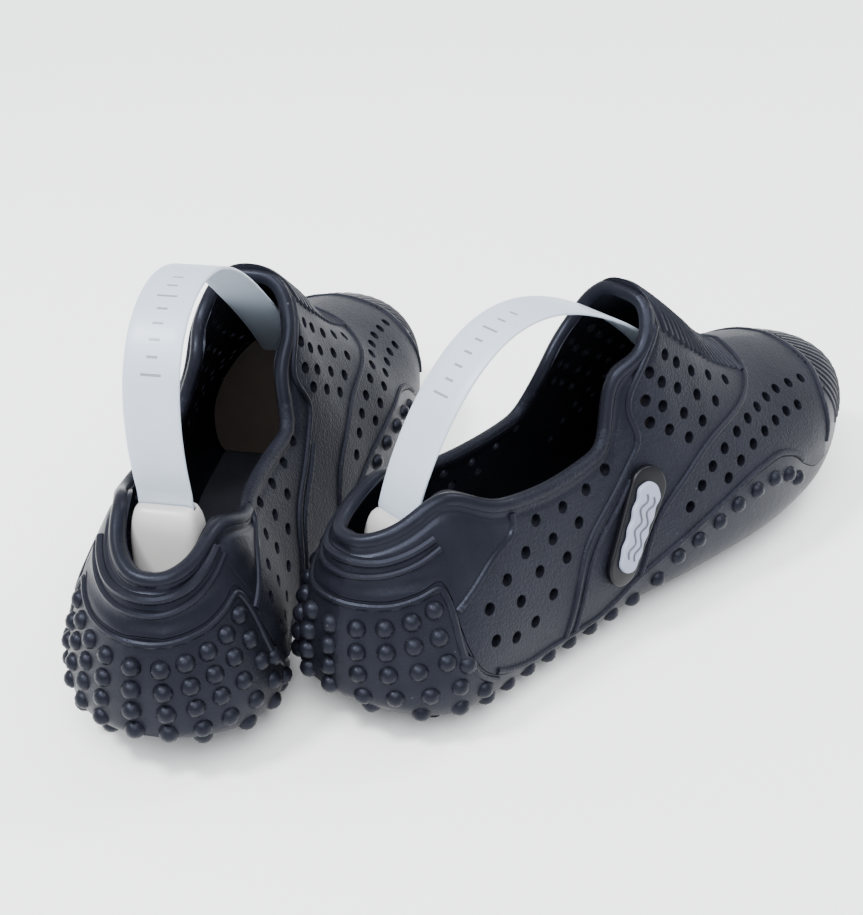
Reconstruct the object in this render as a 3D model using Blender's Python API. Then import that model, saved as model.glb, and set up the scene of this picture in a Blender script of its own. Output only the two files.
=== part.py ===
"""A pair of perforated garden clogs, each holding a sprung shoe tree.

Each clog is modelled as a right one in its own frame: +X towards the toe, +Y towards the big-toe
side, +Z up, heel at X = 0 and the ground at Z = 0.  The left one is its mirror image.
Lengths in the tables and functions are millimetres; MM turns them into metres.
"""
import math

import bmesh
import bpy
import numpy as np
from mathutils import Matrix, Vector

MM = 0.001

# ---- overall sizes of one clog
CLOG_LENGTH = 285.0
CLOG_WIDTH = 90.5          # across the ball of the foot
CLOG_HEIGHT = 127.0        # ground to the tip of the tongue

# ---- walls and running gaps
WALL = 4.5                 # side wall
ROOF = 5.5                 # wall over the instep and toes
SOLE = 9.0                 # outsole under the footbed
SOLE_SKIRT = 1.0           # least height of the bond line over the inner floor
GAP = 0.3                  # what touches is modelled this far apart
LIP_HEIGHT = 6.0           # rolled edge of the collar
LIP_SWELL = 1.5

# ---- studs, perforations
STUD_RADIUS = 3.1
STUD_HEIGHT = 3.0
STUD_ROOT = 1.5            # how deep a stud is rooted in the sole
HOLE_RADIUS = 2.3

# ---- footbed
FOOTBED_THICK = 4.5
FOOTBED_SEAT = 0.8             # the outsole's floor is slightly crowned
FOOTBED_CLEARANCE = 3.0

# ---- side badge
BADGE_CENTRE = (119.0, 45.0)   # station and height on the outer side wall
BADGE_LEAN = 54.5              # degrees from level
BASE_LENGTH, BASE_WIDTH, BASE_THICK = 45.0, 15.0, 2.0
BASE_SEAT = 0.6                # the plate spans slightly hollow spots of the wall
LABEL_LENGTH, LABEL_WIDTH, LABEL_THICK = 34.0, 9.5, 1.0
LABEL_SEAT = 0.8               # the base is slightly hollow under the label

# ---- shoe tree
STRAP_WIDTH = 19.0
STRAP_THICK = 1.3
TREE_SIDE = -3.0               # the tree's middle, off the clog's axis, for a drawn-size clog
STRAP_GRIP = 13.0              # how deep each strap end sits in its block
PIN_RADIUS = 2.0
PIN_BLIND = 3.0                # how far a pin runs past the strap's middle
PIN_FRONT = {"heel": 5.5, "toe": 7.0}
BLOCK_HEIGHT = 50.0
BLOCK_TOP_WIDTH = 19.5
BLOCK_FOOT_WIDTH = 25.0
BLOCK_DEPTH = 20.0
BLOCK_CLEARANCE = 0.4          # over the footbed
REAR_CORNER, FRONT_CORNER = 0.35, 0.15     # cut corners of the block, as shares of its depth there
TOE_FORM_START, TOE_FORM_END = 184.0, 262.0
FORM_SEAT = 0.7                # the form rests on the footbed
TOE_FORM_CLEARANCE = 5.0       # to the side walls and the roof

# ---- the pair on the floor, for clogs of the drawn size
LEFT_HEEL = (-56.6, 13.8)      # the left clog's heel from the right one's
LEFT_TURN = 37.0               # degrees, toes apart
PAIR_CENTRE = (106.35, 72.35)  # middle of the pair's box, from the right heel

# Outline tables, (station along the clog, value), drawn for a 285 mm clog.
OUTER_SIDE = [(0, 36), (35, 42), (75, 40), (115, 40), (155, 44.5), (190, 46.5), (220, 44), (250, 38),
              (285, 30)]
INNER_SIDE = [(0, 29), (35, 33.5), (75, 27), (115, 31.5), (155, 38), (190, 44), (220, 43.5), (250, 39),
              (285, 31)]
ROOF_LINE = [(0, 100), (60, 109), (110, 115), (140, 127), (150, 120), (175, 99.5), (200, 80), (225, 71),
             (250, 64), (285, 56)]
KEEL_LINE = [(0, 14), (25, 5), (60, 3), (200, 3), (240, 6), (285, 16)]
WIDEST_LINE = [(0, 24), (60, 24), (200, 34), (285, 36)]
SHOULDER = [(0, 1.15), (60, 1.75), (110, 1.4), (150, 1.55), (200, 1.85), (285, 2.4)]
FULLNESS = [(0, 0.86), (60, 0.93), (110, 0.92), (150, 0.9), (200, 0.7), (285, 0.5)]
COLLAR_OUTER = [(0, 72.5), (12, 76.5), (33, 84), (60, 75.5), (90, 73), (112, 75), (126, 99), (138, 105),
                (150, 125)]
COLLAR_INNER = [(0, 72.5), (12, 73.5), (33, 78), (60, 70.5), (90, 71), (112, 72), (126, 94), (138, 105),
                (150, 125)]
SOLE_LINE = [(0, 55), (10, 55.5), (20, 58), (27, 60.5), (30, 56), (33, 40), (40, 25), (52, 17), (66, 13.5),
             (96, 13.5), (120, 21), (163, 37), (185, 43), (196, 44), (206, 41), (216, 33), (228, 27),
             (250, 26.5), (268, 28.5), (281, 33.5), (285, 35)]
TONGUE_STATION = 147.0
TONGUE_CLEARANCE = 4.0         # beside the strap, inside the tongue
TONGUE_HALF = STRAP_WIDTH / 2 + WALL + TONGUE_CLEARANCE
TONGUE_POWER = 10              # the tongue's head is flatter and broader than the vault
TIP_STEP = 4.0                 # a ring close behind the tongue tip keeps the mouth's end round
TONGUE_REACH = [(108, 0), (136, 1), (162, 1), (200, 0)]
HEEL_ROUND, TOE_ROUND = 40.6, 55.5         # length of each round end
NOSE_ROUNDNESS = 2.3
SQUARENESS = 3.6               # superellipse power of the section under the widest line
HEEL_LEAN, HEEL_BULGE, LEAN_REACH = 15.3, 4.8, 90.0
NOSE_FLAT = 4.0                # the skin ends this far short of the nose, in a small flat
TOE_SWING = 4.0                # the toe end curves towards the big toe

# Perforations on each side wall: (station, height).
REAR_HOLES = [(101, 65), (88, 64), (94, 56), (74, 65), (80, 56), (85, 47), (66, 57), (71, 48), (76, 37),
              (55, 52), (60, 42), (66, 31), (45, 46), (53, 31), (45, 34)]
INSTEP_HOLES = [(148, 99), (154, 94), (162, 88), (173, 82), (184, 76), (138, 96), (143, 91), (151, 86),
                (161, 80), (171, 74), (134, 87), (141, 83), (151, 77), (160, 71), (134, 79), (142, 74),
                (151, 68)]

# Studs on the heel cup and along the forefoot on each side: (station, height).
CUP_STUDS = [(2, 47), (11, 47.5), (20, 50), (2, 39), (12, 39.5), (22, 42), (2, 31), (12, 31.5), (23, 34),
             (6, 23.5), (17, 23), (29, 23), (32, 31)]
WING_STUDS = [(140, 24), (150, 27.5), (161, 31), (171, 34.5), (182, 36.5), (193, 37), (203, 34.5), (211, 29)]
EDGE_STUDS = [(44, 11), (58, 9.5), (72, 9), (86, 9), (100, 9.5), (114, 11), (128, 14)]

# Strap line of each tree, from the heel block to the toe form: (station, height).
RIGHT_STRAP = [(36.5, 72), (39.5, 80), (46, 93), (55, 106), (66, 117), (80, 125), (97, 127), (114, 123),
               (131, 115), (150, 102), (169, 84), (187, 63)]
LEFT_STRAP = [(42, 87), (40.5, 96), (40, 113), (44, 129), (54, 141), (68, 147), (84, 147), (102, 140.5),
              (118, 130), (134, 116.5), (151, 101), (169, 83), (187, 63)]
BLOCK_TOP = {"right": (36.5, 72.0), "left": (42.0, 87.0)}

STATIONS = 24               # rings along the clog
UPPER_ROWS = (0.0, 0.06, 0.15, 0.3, 0.5, 0.76, 1.0)
SOLE_ROWS = (0.0, 0.003, 0.03, 0.13, 0.42, 1.0)    # crowded where the section turns under
ROUND_SIDES = 5             # sides of each small stud and perforation
TREAD_STEP = 29.0           # spacing of the ground studs along the sole
TREAD_SHARES = (-0.6, -0.2, 0.2, 0.6)

LENGTH_SCALE = CLOG_LENGTH / 285.0
WIDTH_SCALE = CLOG_WIDTH / 90.5
HEIGHT_SCALE = CLOG_HEIGHT / 127.0
PAIR_SCALE = max(LENGTH_SCALE, WIDTH_SCALE)

COLOURS = {                    # base colour, roughness, metallic
    "upper": ((0.020, 0.023, 0.034, 1), 0.55, 0.0),
    "outsole": ((0.016, 0.018, 0.026, 1), 0.5, 0.0),
    "footbed": ((0.010, 0.011, 0.016, 1), 0.8, 0.0),
    "badge_base": ((0.012, 0.012, 0.018, 1), 0.25, 0.0),
    "badge_label": ((0.62, 0.62, 0.70, 1), 0.45, 0.0),
    "heel_block": ((0.62, 0.60, 0.57, 1), 0.45, 0.0),
    "strap": ((0.72, 0.77, 0.80, 1), 0.4, 0.0),
    "toe_form": ((0.62, 0.60, 0.57, 1), 0.45, 0.0),
    "pin": ((0.55, 0.56, 0.58, 1), 0.3, 1.0),
}


# ---------------------------------------------------------------- curves and surface
def smooth(table, x, along=1.0, size=1.0):
    """Value at x of a monotone cubic through the table's points."""
    points = np.array(table, float) * (along, size)
    px, py = points[:, 0], points[:, 1]
    step, rise = np.diff(px), np.diff(py) / np.diff(px)
    slope = np.zeros(len(px))
    slope[0], slope[-1] = rise[0], rise[-1]
    for i in range(1, len(px) - 1):
        if rise[i - 1] * rise[i] > 0:
            w1, w2 = 2 * step[i] + step[i - 1], step[i] + 2 * step[i - 1]
            slope[i] = (w1 + w2) / (w1 / rise[i - 1] + w2 / rise[i])
    x = np.clip(x, px[0], px[-1])
    i = np.clip(np.searchsorted(px, x, side="right") - 1, 0, len(px) - 2)
    u = (x - px[i]) / step[i]
    return ((1 + 2 * u) * (1 - u) ** 2 * py[i] + u * (1 - u) ** 2 * step[i] * slope[i]
            + u * u * (3 - 2 * u) * py[i + 1] + u * u * (u - 1) * step[i] * slope[i + 1])


def across(table, x):
    return smooth(table, x, LENGTH_SCALE, WIDTH_SCALE)


def upright(table, x):
    return smooth(table, x, LENGTH_SCALE, HEIGHT_SCALE)


def nose(share):
    """Superellipse quarter: 0 at the very end of the clog, 1 where its round end begins."""
    share = np.clip(share, 0, 1)
    return (1 - (1 - share) ** NOSE_ROUNDNESS) ** (1 / NOSE_ROUNDNESS)


def limits(x, inset=0.0, roof=0.0, lift=0.0):
    """Heights of the keel, the widest line and the closed roof at station x."""
    heel = nose(x / (HEEL_ROUND * LENGTH_SCALE))
    toe = nose((CLOG_LENGTH - x) / (TOE_ROUND * LENGTH_SCALE))
    widest = upright(WIDEST_LINE, x)
    top = widest + (upright(ROOF_LINE, x) - roof - widest) * toe ** 0.8
    keel = widest - (widest - upright(KEEL_LINE, x) - lift) * toe * (0.35 + 0.65 * heel)
    return keel, widest, top


def wall(x, z, side, inset=0.0, roof=0.0, lift=0.0):
    """Point of the wall at station x and height z; side is -1 outer, +1 inner (big toe).

    inset, roof and lift move the wall, the roof and the keel inwards.
    """
    x, z = np.broadcast_arrays(np.asarray(x, float), np.asarray(z, float))
    outer, inner = across(OUTER_SIDE, x), across(INNER_SIDE, x)
    heel = nose(x / (HEEL_ROUND * LENGTH_SCALE))
    toe = nose((CLOG_LENGTH - x) / (TOE_ROUND * LENGTH_SCALE))
    half = ((outer + inner) / 2 - inset) * heel * toe
    swing = TOE_SWING * WIDTH_SCALE * np.clip((x / LENGTH_SCALE - 200) / 85, 0, 1) ** 2
    centre = (inner - outer) / 2 * heel + swing
    keel, widest, top = limits(x, inset, roof, lift)
    rise = np.clip((z - widest) / np.maximum(top - widest, 1e-6), 0, 1)
    drop = np.clip((widest - z) / np.maximum(widest - keel, 1e-6), 0, 1)
    shoulder = smooth(SHOULDER, x, LENGTH_SCALE)
    fullness = smooth(FULLNESS, x, LENGTH_SCALE)
    spread = np.where(z >= widest, (1 - rise ** shoulder) ** fullness,
                      (1 - drop ** SQUARENESS) ** (1 / SQUARENESS))
    head = ((TONGUE_HALF - inset) * smooth(TONGUE_REACH, x, LENGTH_SCALE)
            * np.minimum(2 * rise, 1) * np.sqrt(1 - rise ** TONGUE_POWER))
    reach = ((half * spread) ** 4 + head ** 4) ** 0.25
    near_heel = np.clip(1 - x / (LEAN_REACH * LENGTH_SCALE), 0, 1) ** 2
    above = np.clip((z - widest) / (50 * HEIGHT_SCALE), 0, 2)
    below = np.clip((widest - z) / (25 * HEIGHT_SCALE), 0, 1)
    lean = near_heel * (HEEL_LEAN * above ** 2 + HEEL_BULGE * below ** 2) * LENGTH_SCALE
    squeeze = inset + x * (CLOG_LENGTH - 2 * inset) / CLOG_LENGTH
    return np.stack([squeeze + lean, centre + side * reach, z], -1)


def wall_frame(x, z, side, outward=0.0):
    """Point on the outer wall, moved outward, with the unit normal there."""
    reach = 0.5
    here = wall(x, z, side)
    along = wall(x + reach, z, side) - wall(x - reach, z, side)
    up = wall(x, z + reach, side) - wall(x, z - reach, side)
    normal = np.cross(up, along) * side
    normal /= np.linalg.norm(normal, axis=-1, keepdims=True)
    return here + normal * outward, normal


def collar(x, side):
    """Height of the collar edge; over the closed forefoot it is the roof."""
    table = COLLAR_OUTER if side < 0 else COLLAR_INNER
    top = limits(x)[2]
    return np.where(x < TONGUE_STATION * LENGTH_SCALE, np.minimum(upright(table, x), top), top)


def sole_line(x, shift):
    """Height of the bond line, moved by shift at right angles to itself; it clears the inner floor."""
    def line(at):
        return np.maximum(upright(SOLE_LINE, at), limits(at, lift=SOLE)[0] + SOLE_SKIRT)

    reach = 0.5
    slope = (line(x + reach) - line(x - reach)) / (2 * reach)
    return line(x) + shift * np.sqrt(1 + slope ** 2)


def stations(count, first=0.9, last=None):
    """Stations crowded towards both round ends, one of them at the tongue tip."""
    last = CLOG_LENGTH - NOSE_FLAT if last is None else last
    xs = first + (last - first) * (1 - np.cos(np.pi * np.linspace(0, 1, count))) / 2
    xs = xs * 0.6 + np.linspace(first, last, count) * 0.4
    tip = TONGUE_STATION * LENGTH_SCALE
    if first < tip < last:
        xs[np.argmin(abs(xs - tip))] = tip
        xs = np.sort(np.append(xs, tip - TIP_STEP))
    return xs


# ---------------------------------------------------------------- mesh helpers
def mesh_from(name, verts, faces):
    mesh = bpy.data.meshes.new(name)
    mesh.from_pydata([tuple(v) for v in np.asarray(verts) * MM], [], faces)
    work = bmesh.new()
    work.from_mesh(mesh)
    bmesh.ops.remove_doubles(work, verts=work.verts, dist=1e-5)
    bmesh.ops.dissolve_degenerate(work, edges=work.edges, dist=1e-6)
    bmesh.ops.recalc_face_normals(work, faces=work.faces)
    bmesh.ops.triangulate(work, faces=work.faces)
    work.to_mesh(mesh)
    work.free()
    return mesh


def guide(name, mesh):
    """An object used only to cut or to join; it isn't part of the clog."""
    obj = bpy.data.objects.new(name, mesh)
    bpy.context.scene.collection.objects.link(obj)
    obj.hide_render = True
    obj.display_type = "WIRE"
    return obj


def combine(mesh, other, operation, solver="EXACT"):
    """The mesh after one Boolean with another mesh."""
    body, tool = guide("body", mesh), guide("tool", other)
    cut = body.modifiers.new("combine", "BOOLEAN")
    cut.operation, cut.solver, cut.object = operation, solver, tool
    bpy.context.view_layer.update()
    result = bpy.data.meshes.new_from_object(body.evaluated_get(bpy.context.evaluated_depsgraph_get()))
    for obj in (body, tool):
        bpy.data.objects.remove(obj)
    return result


def ring_loft(name, rings):
    """Closed skin over rings of equal count, with flat ends."""
    count = len(rings[0])
    verts = np.concatenate(rings)
    faces = [list(range(count)), [len(verts) - count + k for k in range(count)]]
    for r in range(len(rings) - 1):
        for k in range(count):
            a, b = r * count + k, r * count + (k + 1) % count
            faces.append([a, b, b + count, a + count])
    return mesh_from(name, verts, faces)


def both_walls(xs, shares, low, high, lip=(), **insets):
    """Grids of wall points, outer side then inner side, from height low to height high.

    Rows at the lip's depths below high follow those that share the rest of the wall.
    """
    grids = []
    for side in (-1, 1):
        z0, z1 = low(xs, side)[:, None], high(xs, side)[:, None]
        depths = np.minimum(np.array([LIP_HEIGHT * d for d in lip]), (z1 - z0) * 0.8)
        foot = z1 - (depths[:, :1] if len(lip) else 0)
        rows = z0 + (foot - z0) * shares
        if len(lip):
            rows = np.hstack([rows[:, :-1], z1 - depths])
        grids.append(wall(xs[:, None], rows, side, **insets))
    return grids


def shell(outer, inner, foot_open, top_open_to):
    """Closed shell between an outer and an inner pair of wall grids.

    Where an edge is open a rim joins the two skins: the foot edge all round if foot_open, and the
    top edge up to the column top_open_to.  Elsewhere the two side walls already meet there.
    """
    columns, rows = outer[0].shape[:2]
    verts = np.concatenate([g.reshape(-1, 3) for g in (*outer, *inner)])
    size = columns * rows

    def index(grid, i, j):
        return grid * size + i * rows + j

    faces = []
    for grid in range(4):
        for i in range(columns - 1):
            for j in range(rows - 1):
                faces.append([index(grid, i, j), index(grid, i + 1, j), index(grid, i + 1, j + 1),
                              index(grid, i, j + 1)])
    for i in (0, columns - 1):
        for j in range(rows - 1):
            for a, b in ((0, 1), (2, 3)):
                faces.append([index(a, i, j), index(a, i, j + 1), index(b, i, j + 1), index(b, i, j)])
    for j, last in ((0, columns - 1 if foot_open else 0), (rows - 1, top_open_to)):
        for a, b in ((0, 2), (1, 3)):
            for i in range(last):
                faces.append([index(a, i, j), index(a, i + 1, j), index(b, i + 1, j), index(b, i, j)])
        for i in (0, columns - 1):
            if last > 0 and i <= last:
                faces.append([index(0, i, j), index(1, i, j), index(3, i, j), index(2, i, j)])
    return verts, faces


def wall_solid(name, xs, shares, low, high, **insets):
    """Solid block that fills the space between the two walls from height low to height high."""
    outer, inner = both_walls(xs, shares, low, high, **insets)
    return ring_loft(name, [np.concatenate([a, b[::-1]]) for a, b in zip(outer, inner)])


def spots(name, places, make):
    """One mesh holding a small solid at each place of both side walls."""
    verts, faces = [], []
    for side in (-1, 1):
        for x, z in places:
            point, normal = wall_frame(x * LENGTH_SCALE, z * HEIGHT_SCALE, side)
            v, f = make(point, normal)
            faces += [[k + len(verts) for k in face] for face in f]
            verts += list(v)
    return mesh_from(name, verts, faces)


def turned(point, normal, profile, sides=ROUND_SIDES):
    """Solid of revolution about the normal; profile is (distance along it, radius)."""
    spin = Vector(normal).to_track_quat("Z", "Y").to_matrix()
    verts = []
    for height, radius in profile:
        for k in range(sides):
            turn = 2 * math.pi * k / sides
            verts.append(np.array(spin @ Vector((radius * math.cos(turn), radius * math.sin(turn), height)))
                         + point)
    faces = [list(range(sides)), [len(verts) - sides + k for k in range(sides)]]
    for r in range(len(profile) - 1):
        for k in range(sides):
            a, b = r * sides + k, r * sides + (k + 1) % sides
            faces.append([a, b, b + sides, a + sides])
    return verts, faces


def stud(point, normal):
    return turned(point, normal, [(-STUD_ROOT, STUD_RADIUS), (STUD_HEIGHT, STUD_RADIUS * 0.6)])


def hole_pin(point, normal):
    return turned(point, normal, [(-WALL * 2.2, HOLE_RADIUS), (WALL * 0.6, HOLE_RADIUS)], sides=4)


# ---------------------------------------------------------------- the clog
LIP_ROWS = (1.0, 0.75, 0.2, 0.0)      # depths of the rows that shape the lip, as shares of its height


def upper():
    """Shell above the bond line, with a rolled collar edge and perforated sides."""
    xs = stations(STATIONS)
    low = lambda x, side: sole_line(x, GAP / 2)
    plain = np.array(UPPER_ROWS)
    outer = both_walls(xs, plain, low, collar, lip=LIP_ROWS)
    inner = both_walls(xs, plain, low, lambda x, side: np.minimum(collar(x, side), limits(x, roof=ROOF)[2]),
                       lip=LIP_ROWS, inset=WALL, roof=ROOF, lift=SOLE)
    tip = TONGUE_STATION * LENGTH_SCALE
    edge = np.clip((tip - xs) / (12 * LENGTH_SCALE), 0, 1)[:, None, None]
    middle = np.array([tip / 2, 0, 0])
    for grid in outer:
        out = (grid - middle) * (1, 1, 0)
        out /= np.linalg.norm(out, axis=-1, keepdims=True)
        grid[:, -3:-1] += out[:, -3:-1] * LIP_SWELL * edge
    mesh = mesh_from("upper", *shell(outer, inner, True, int(np.searchsorted(xs, tip - 0.01))))
    holes = spots("holes", REAR_HOLES + INSTEP_HOLES, hole_pin)
    return combine(mesh, holes, "DIFFERENCE")


def outsole():
    """Studded cup below the bond line, up round the heel and over the ball of the foot."""
    xs = stations(STATIONS)
    high = lambda x, side: sole_line(x, -GAP / 2)
    rows = np.array(SOLE_ROWS)
    outer = both_walls(xs, rows, lambda x, side: limits(x)[0], high)
    inner = both_walls(xs, rows, lambda x, side: limits(x, lift=SOLE)[0], high,
                       inset=WALL, roof=ROOF, lift=SOLE)
    mesh = mesh_from("outsole", *shell(outer, inner, False, len(xs) - 1))
    studs = spots("studs", CUP_STUDS + WING_STUDS + EDGE_STUDS, stud)
    return combine(combine(mesh, studs, "UNION"), tread(), "UNION")


def tread():
    """Flat-footed studs under the sole; their feet stand on the ground."""
    verts, faces = [], []
    for x in np.arange(30, 240, TREAD_STEP):
        station = x * LENGTH_SCALE
        keel, widest, _ = limits(station)
        right, left = (wall(station, widest, side) for side in (-1, 1))
        for share in TREAD_SHARES:
            skin = widest - (1 - abs(share) ** SQUARENESS) ** (1 / SQUARENESS) * (widest - keel)
            spot = right + (left - right) * (share + 1) / 2
            v, f = turned(spot * (1, 1, 0), (0, 0, 1),
                          [(max(0.0, skin - STUD_HEIGHT), STUD_RADIUS * 0.8), (skin + STUD_ROOT, STUD_RADIUS)])
            faces += [[k + len(verts) for k in face] for face in f]
            verts += list(v)
    return mesh_from("tread", verts, faces)


def footbed_top(x):
    return limits(x, lift=SOLE + FOOTBED_SEAT)[0] + FOOTBED_THICK


def footbed():
    """Loose insole lying on the outsole."""
    lift = SOLE + FOOTBED_SEAT
    return wall_solid("footbed", stations(STATIONS)[1:-2], np.array(SOLE_ROWS),
                      lambda x, side: limits(x, lift=lift)[0],
                      lambda x, side: footbed_top(x),
                      inset=WALL + FOOTBED_CLEARANCE, roof=ROOF, lift=lift)


def plate(name, length, width, low, high):
    """Round-ended plate that follows the outer side wall, low to high above it."""
    lean = math.radians(BADGE_LEAN)
    half, radius, count = length / 2 - width / 2, width / 2, 9
    outline = []
    for end in (1, -1):
        for k in range(count):
            turn = math.radians(-90 + 180 * k / (count - 1))
            outline.append((end * (half + radius * math.cos(turn)), end * radius * math.sin(turn)))
    rings = []
    for height, share in ((low, 1.0), (high - 0.5, 1.0), (high, 0.93)):
        ring = []
        for a, b in outline:
            x = BADGE_CENTRE[0] * LENGTH_SCALE + (a * math.cos(lean) + b * math.sin(lean)) * share
            z = BADGE_CENTRE[1] * HEIGHT_SCALE + (a * math.sin(lean) - b * math.cos(lean)) * share
            ring.append(wall_frame(x, z, -1, height)[0])
        rings.append(np.array(ring))
    return ring_loft(name, rings)


# ---------------------------------------------------------------- the shoe tree
def path_of(points, spacing=7.0):
    """Points along a smooth curve through the strap line, and their tangents."""
    pts = np.array(points, float) * (LENGTH_SCALE, HEIGHT_SCALE)
    chord = np.concatenate([[0], np.cumsum(np.linalg.norm(np.diff(pts, axis=0), axis=1))])
    count = int(chord[-1] / spacing)
    at = np.linspace(0, chord[-1], count)
    size = len(pts)
    system, right = np.eye(size), np.zeros_like(pts)
    for i in range(1, size - 1):
        h0, h1 = chord[i] - chord[i - 1], chord[i + 1] - chord[i]
        system[i, i - 1:i + 2] = (h0, 2 * (h0 + h1), h1)
        right[i] = 6 * ((pts[i + 1] - pts[i]) / h1 - (pts[i] - pts[i - 1]) / h0)
    second = np.linalg.solve(system, right)
    i = np.clip(np.searchsorted(chord, at) - 1, 0, size - 2)
    h = (chord[i + 1] - chord[i])[:, None]
    a, b = (chord[i + 1] - at)[:, None] / h, (at - chord[i])[:, None] / h
    curve = a * pts[i] + b * pts[i + 1] + ((a ** 3 - a) * second[i] + (b ** 3 - b) * second[i + 1]) * h * h / 6
    tangent = np.gradient(curve, axis=0)
    return curve, tangent / np.linalg.norm(tangent, axis=1, keepdims=True)


def strap_line(points):
    """The strap's middle line with its straight ends inside the two blocks."""
    curve, tangent = path_of(points)
    down = np.array([0.0, -1.0])
    start = curve[0] + down * STRAP_GRIP
    end = curve[-1] + tangent[-1] * STRAP_GRIP
    return np.vstack([start, curve, end])


def band(name, line, width, thick):
    """Flat band of the given section along a line in the X-Z plane."""
    tangent = np.gradient(line, axis=0)
    tangent /= np.linalg.norm(tangent, axis=1, keepdims=True)
    across_band = np.stack([-tangent[:, 1], tangent[:, 0]], -1) * thick / 2
    rings = []
    for point, off in zip(line, across_band):
        ring = [(*(point + off), -width / 2), (*(point + off), width / 2), (*(point - off), width / 2),
                (*(point - off), -width / 2)]
        rings.append(np.array([(x, y + TREE_SIDE * WIDTH_SCALE, z) for x, z, y in ring]))
    return ring_loft(name, rings)


def rivet(name, centre, direction, radius, back, front):
    """Round pin through the strap's flat, back to front along a direction in the X-Z plane."""
    way = np.array([direction[0], 0.0, direction[1]])
    middle = np.array([centre[0], TREE_SIDE * WIDTH_SCALE, centre[1]])
    verts, faces = turned(middle, way, [(-back, radius), (front, radius)], sides=12)
    return mesh_from(name, verts, faces)


def grip_of(line, end):
    """Middle of the strap's gripped length at one end, and the strap's outward normal there."""
    inner, tip = (line[1], line[0]) if end == "heel" else (line[-2], line[-1])
    way = (tip - inner) / np.linalg.norm(tip - inner)
    return inner + (tip - inner) * 0.55, np.array([-way[1], way[0]])


def pin(line, end, spare=0.0, reach=0.0):
    """Blind rivet that holds one end of the strap; spare and reach make its bore."""
    centre, normal = grip_of(line, end)
    return rivet("pin", centre, normal, PIN_RADIUS + spare, PIN_BLIND + spare, PIN_FRONT[end] + reach)


def heel_block(side, line):
    """Tapered block with rounded corners, slotted for the strap from above."""
    top_x, top_z = BLOCK_TOP[side][0] * LENGTH_SCALE, BLOCK_TOP[side][1] * HEIGHT_SCALE
    head, foot = BLOCK_TOP_WIDTH / 2, BLOCK_FOOT_WIDTH / 2
    height = min(BLOCK_HEIGHT, top_z - footbed_top(top_x - BLOCK_DEPTH) - BLOCK_CLEARANCE)
    # share of the height below the top, back and front face as shares of the depth, half width
    levels = [(0.0, -0.20, 0.16, head - 1.0), (0.03, -0.27, 0.24, head + 0.6), (0.12, -0.36, 0.32, head + 1.5),
              (0.45, -0.52, 0.32, foot * 0.93), (0.85, -0.64, 0.16, foot), (0.97, -0.62, 0.10, foot * 0.97),
              (1.0, -0.56, 0.04, foot * 0.9)]
    rings = []
    for share, back, front, half in levels:
        x0, x1, z = top_x + back * BLOCK_DEPTH, top_x + front * BLOCK_DEPTH, top_z - share * height
        rear, fore = (x1 - x0) * REAR_CORNER, (x1 - x0) * FRONT_CORNER
        rings.append(np.array([(x0 + rear, -half, z), (x1 - fore, -half, z), (x1, -half + fore, z),
                               (x1, half - fore, z), (x1 - fore, half, z), (x0 + rear, half, z),
                               (x0, half - rear, z), (x0, -half + rear, z)]))
    mesh = ring_loft("heel_block", [ring + (0, TREE_SIDE * WIDTH_SCALE, 0) for ring in rings])
    slot = band("slot", np.vstack([line[0] + (0, -GAP), line[0] + (0, STRAP_GRIP + 3)]),
                STRAP_WIDTH + 2 * GAP, STRAP_THICK + 2 * GAP)
    mesh = combine(mesh, slot, "DIFFERENCE")
    return combine(mesh, pin(line, "heel", GAP, 20), "DIFFERENCE")


def toe_form(line):
    """Rounded former that fills the toe and holds the front end of the strap."""
    clear = WALL + TOE_FORM_CLEARANCE
    xs = np.linspace(TOE_FORM_START, TOE_FORM_END, 9) * LENGTH_SCALE
    floor = lambda x, side: footbed_top(x) + FORM_SEAT
    roof = lambda x, side: limits(x, roof=ROOF + TOE_FORM_CLEARANCE)[2]
    mesh = wall_solid("toe_form", xs, np.array([0, 0.12, 0.3, 0.55, 0.8, 0.95, 1.0]), floor, roof,
                      inset=clear, roof=ROOF + TOE_FORM_CLEARANCE, lift=SOLE)
    direction = (line[-1] - line[-2]) / np.linalg.norm(line[-1] - line[-2])
    slot = band("slot", np.vstack([line[-1] - direction * 40, line[-1] + direction * GAP]),
                STRAP_WIDTH + 2 * GAP, STRAP_THICK + 2 * GAP)
    mesh = combine(mesh, slot, "DIFFERENCE")
    return combine(mesh, pin(line, "toe", GAP, 30), "DIFFERENCE")


def strap(line):
    """The sprung strap, with a hole for each pin."""
    mesh = band("strap", line, STRAP_WIDTH, STRAP_THICK)
    for end in ("heel", "toe"):
        mesh = combine(mesh, pin(line, end, GAP, GAP), "DIFFERENCE")
    return mesh


# ---------------------------------------------------------------- placing
def material(finish):
    made = bpy.data.materials.get(finish) or bpy.data.materials.new(finish)
    made.use_nodes = True
    shader = made.node_tree.nodes["Principled BSDF"]
    colour, roughness, metallic = COLOURS[finish]
    shader.inputs["Base Color"].default_value = colour
    shader.inputs["Roughness"].default_value = roughness
    shader.inputs["Metallic"].default_value = metallic
    return made


def mirrored(mesh):
    """A copy of the mesh reflected across its X-Z plane."""
    copy = mesh.copy()
    copy.transform(Matrix.Diagonal((1, -1, 1, 1)))
    copy.flip_normals()
    return copy


def place(name, mesh, finish, parent):
    mesh.materials.clear()
    mesh.materials.append(material(finish))
    obj = bpy.data.objects.new(name, mesh)
    bpy.context.scene.collection.objects.link(obj)
    obj.parent = parent
    return obj


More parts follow.
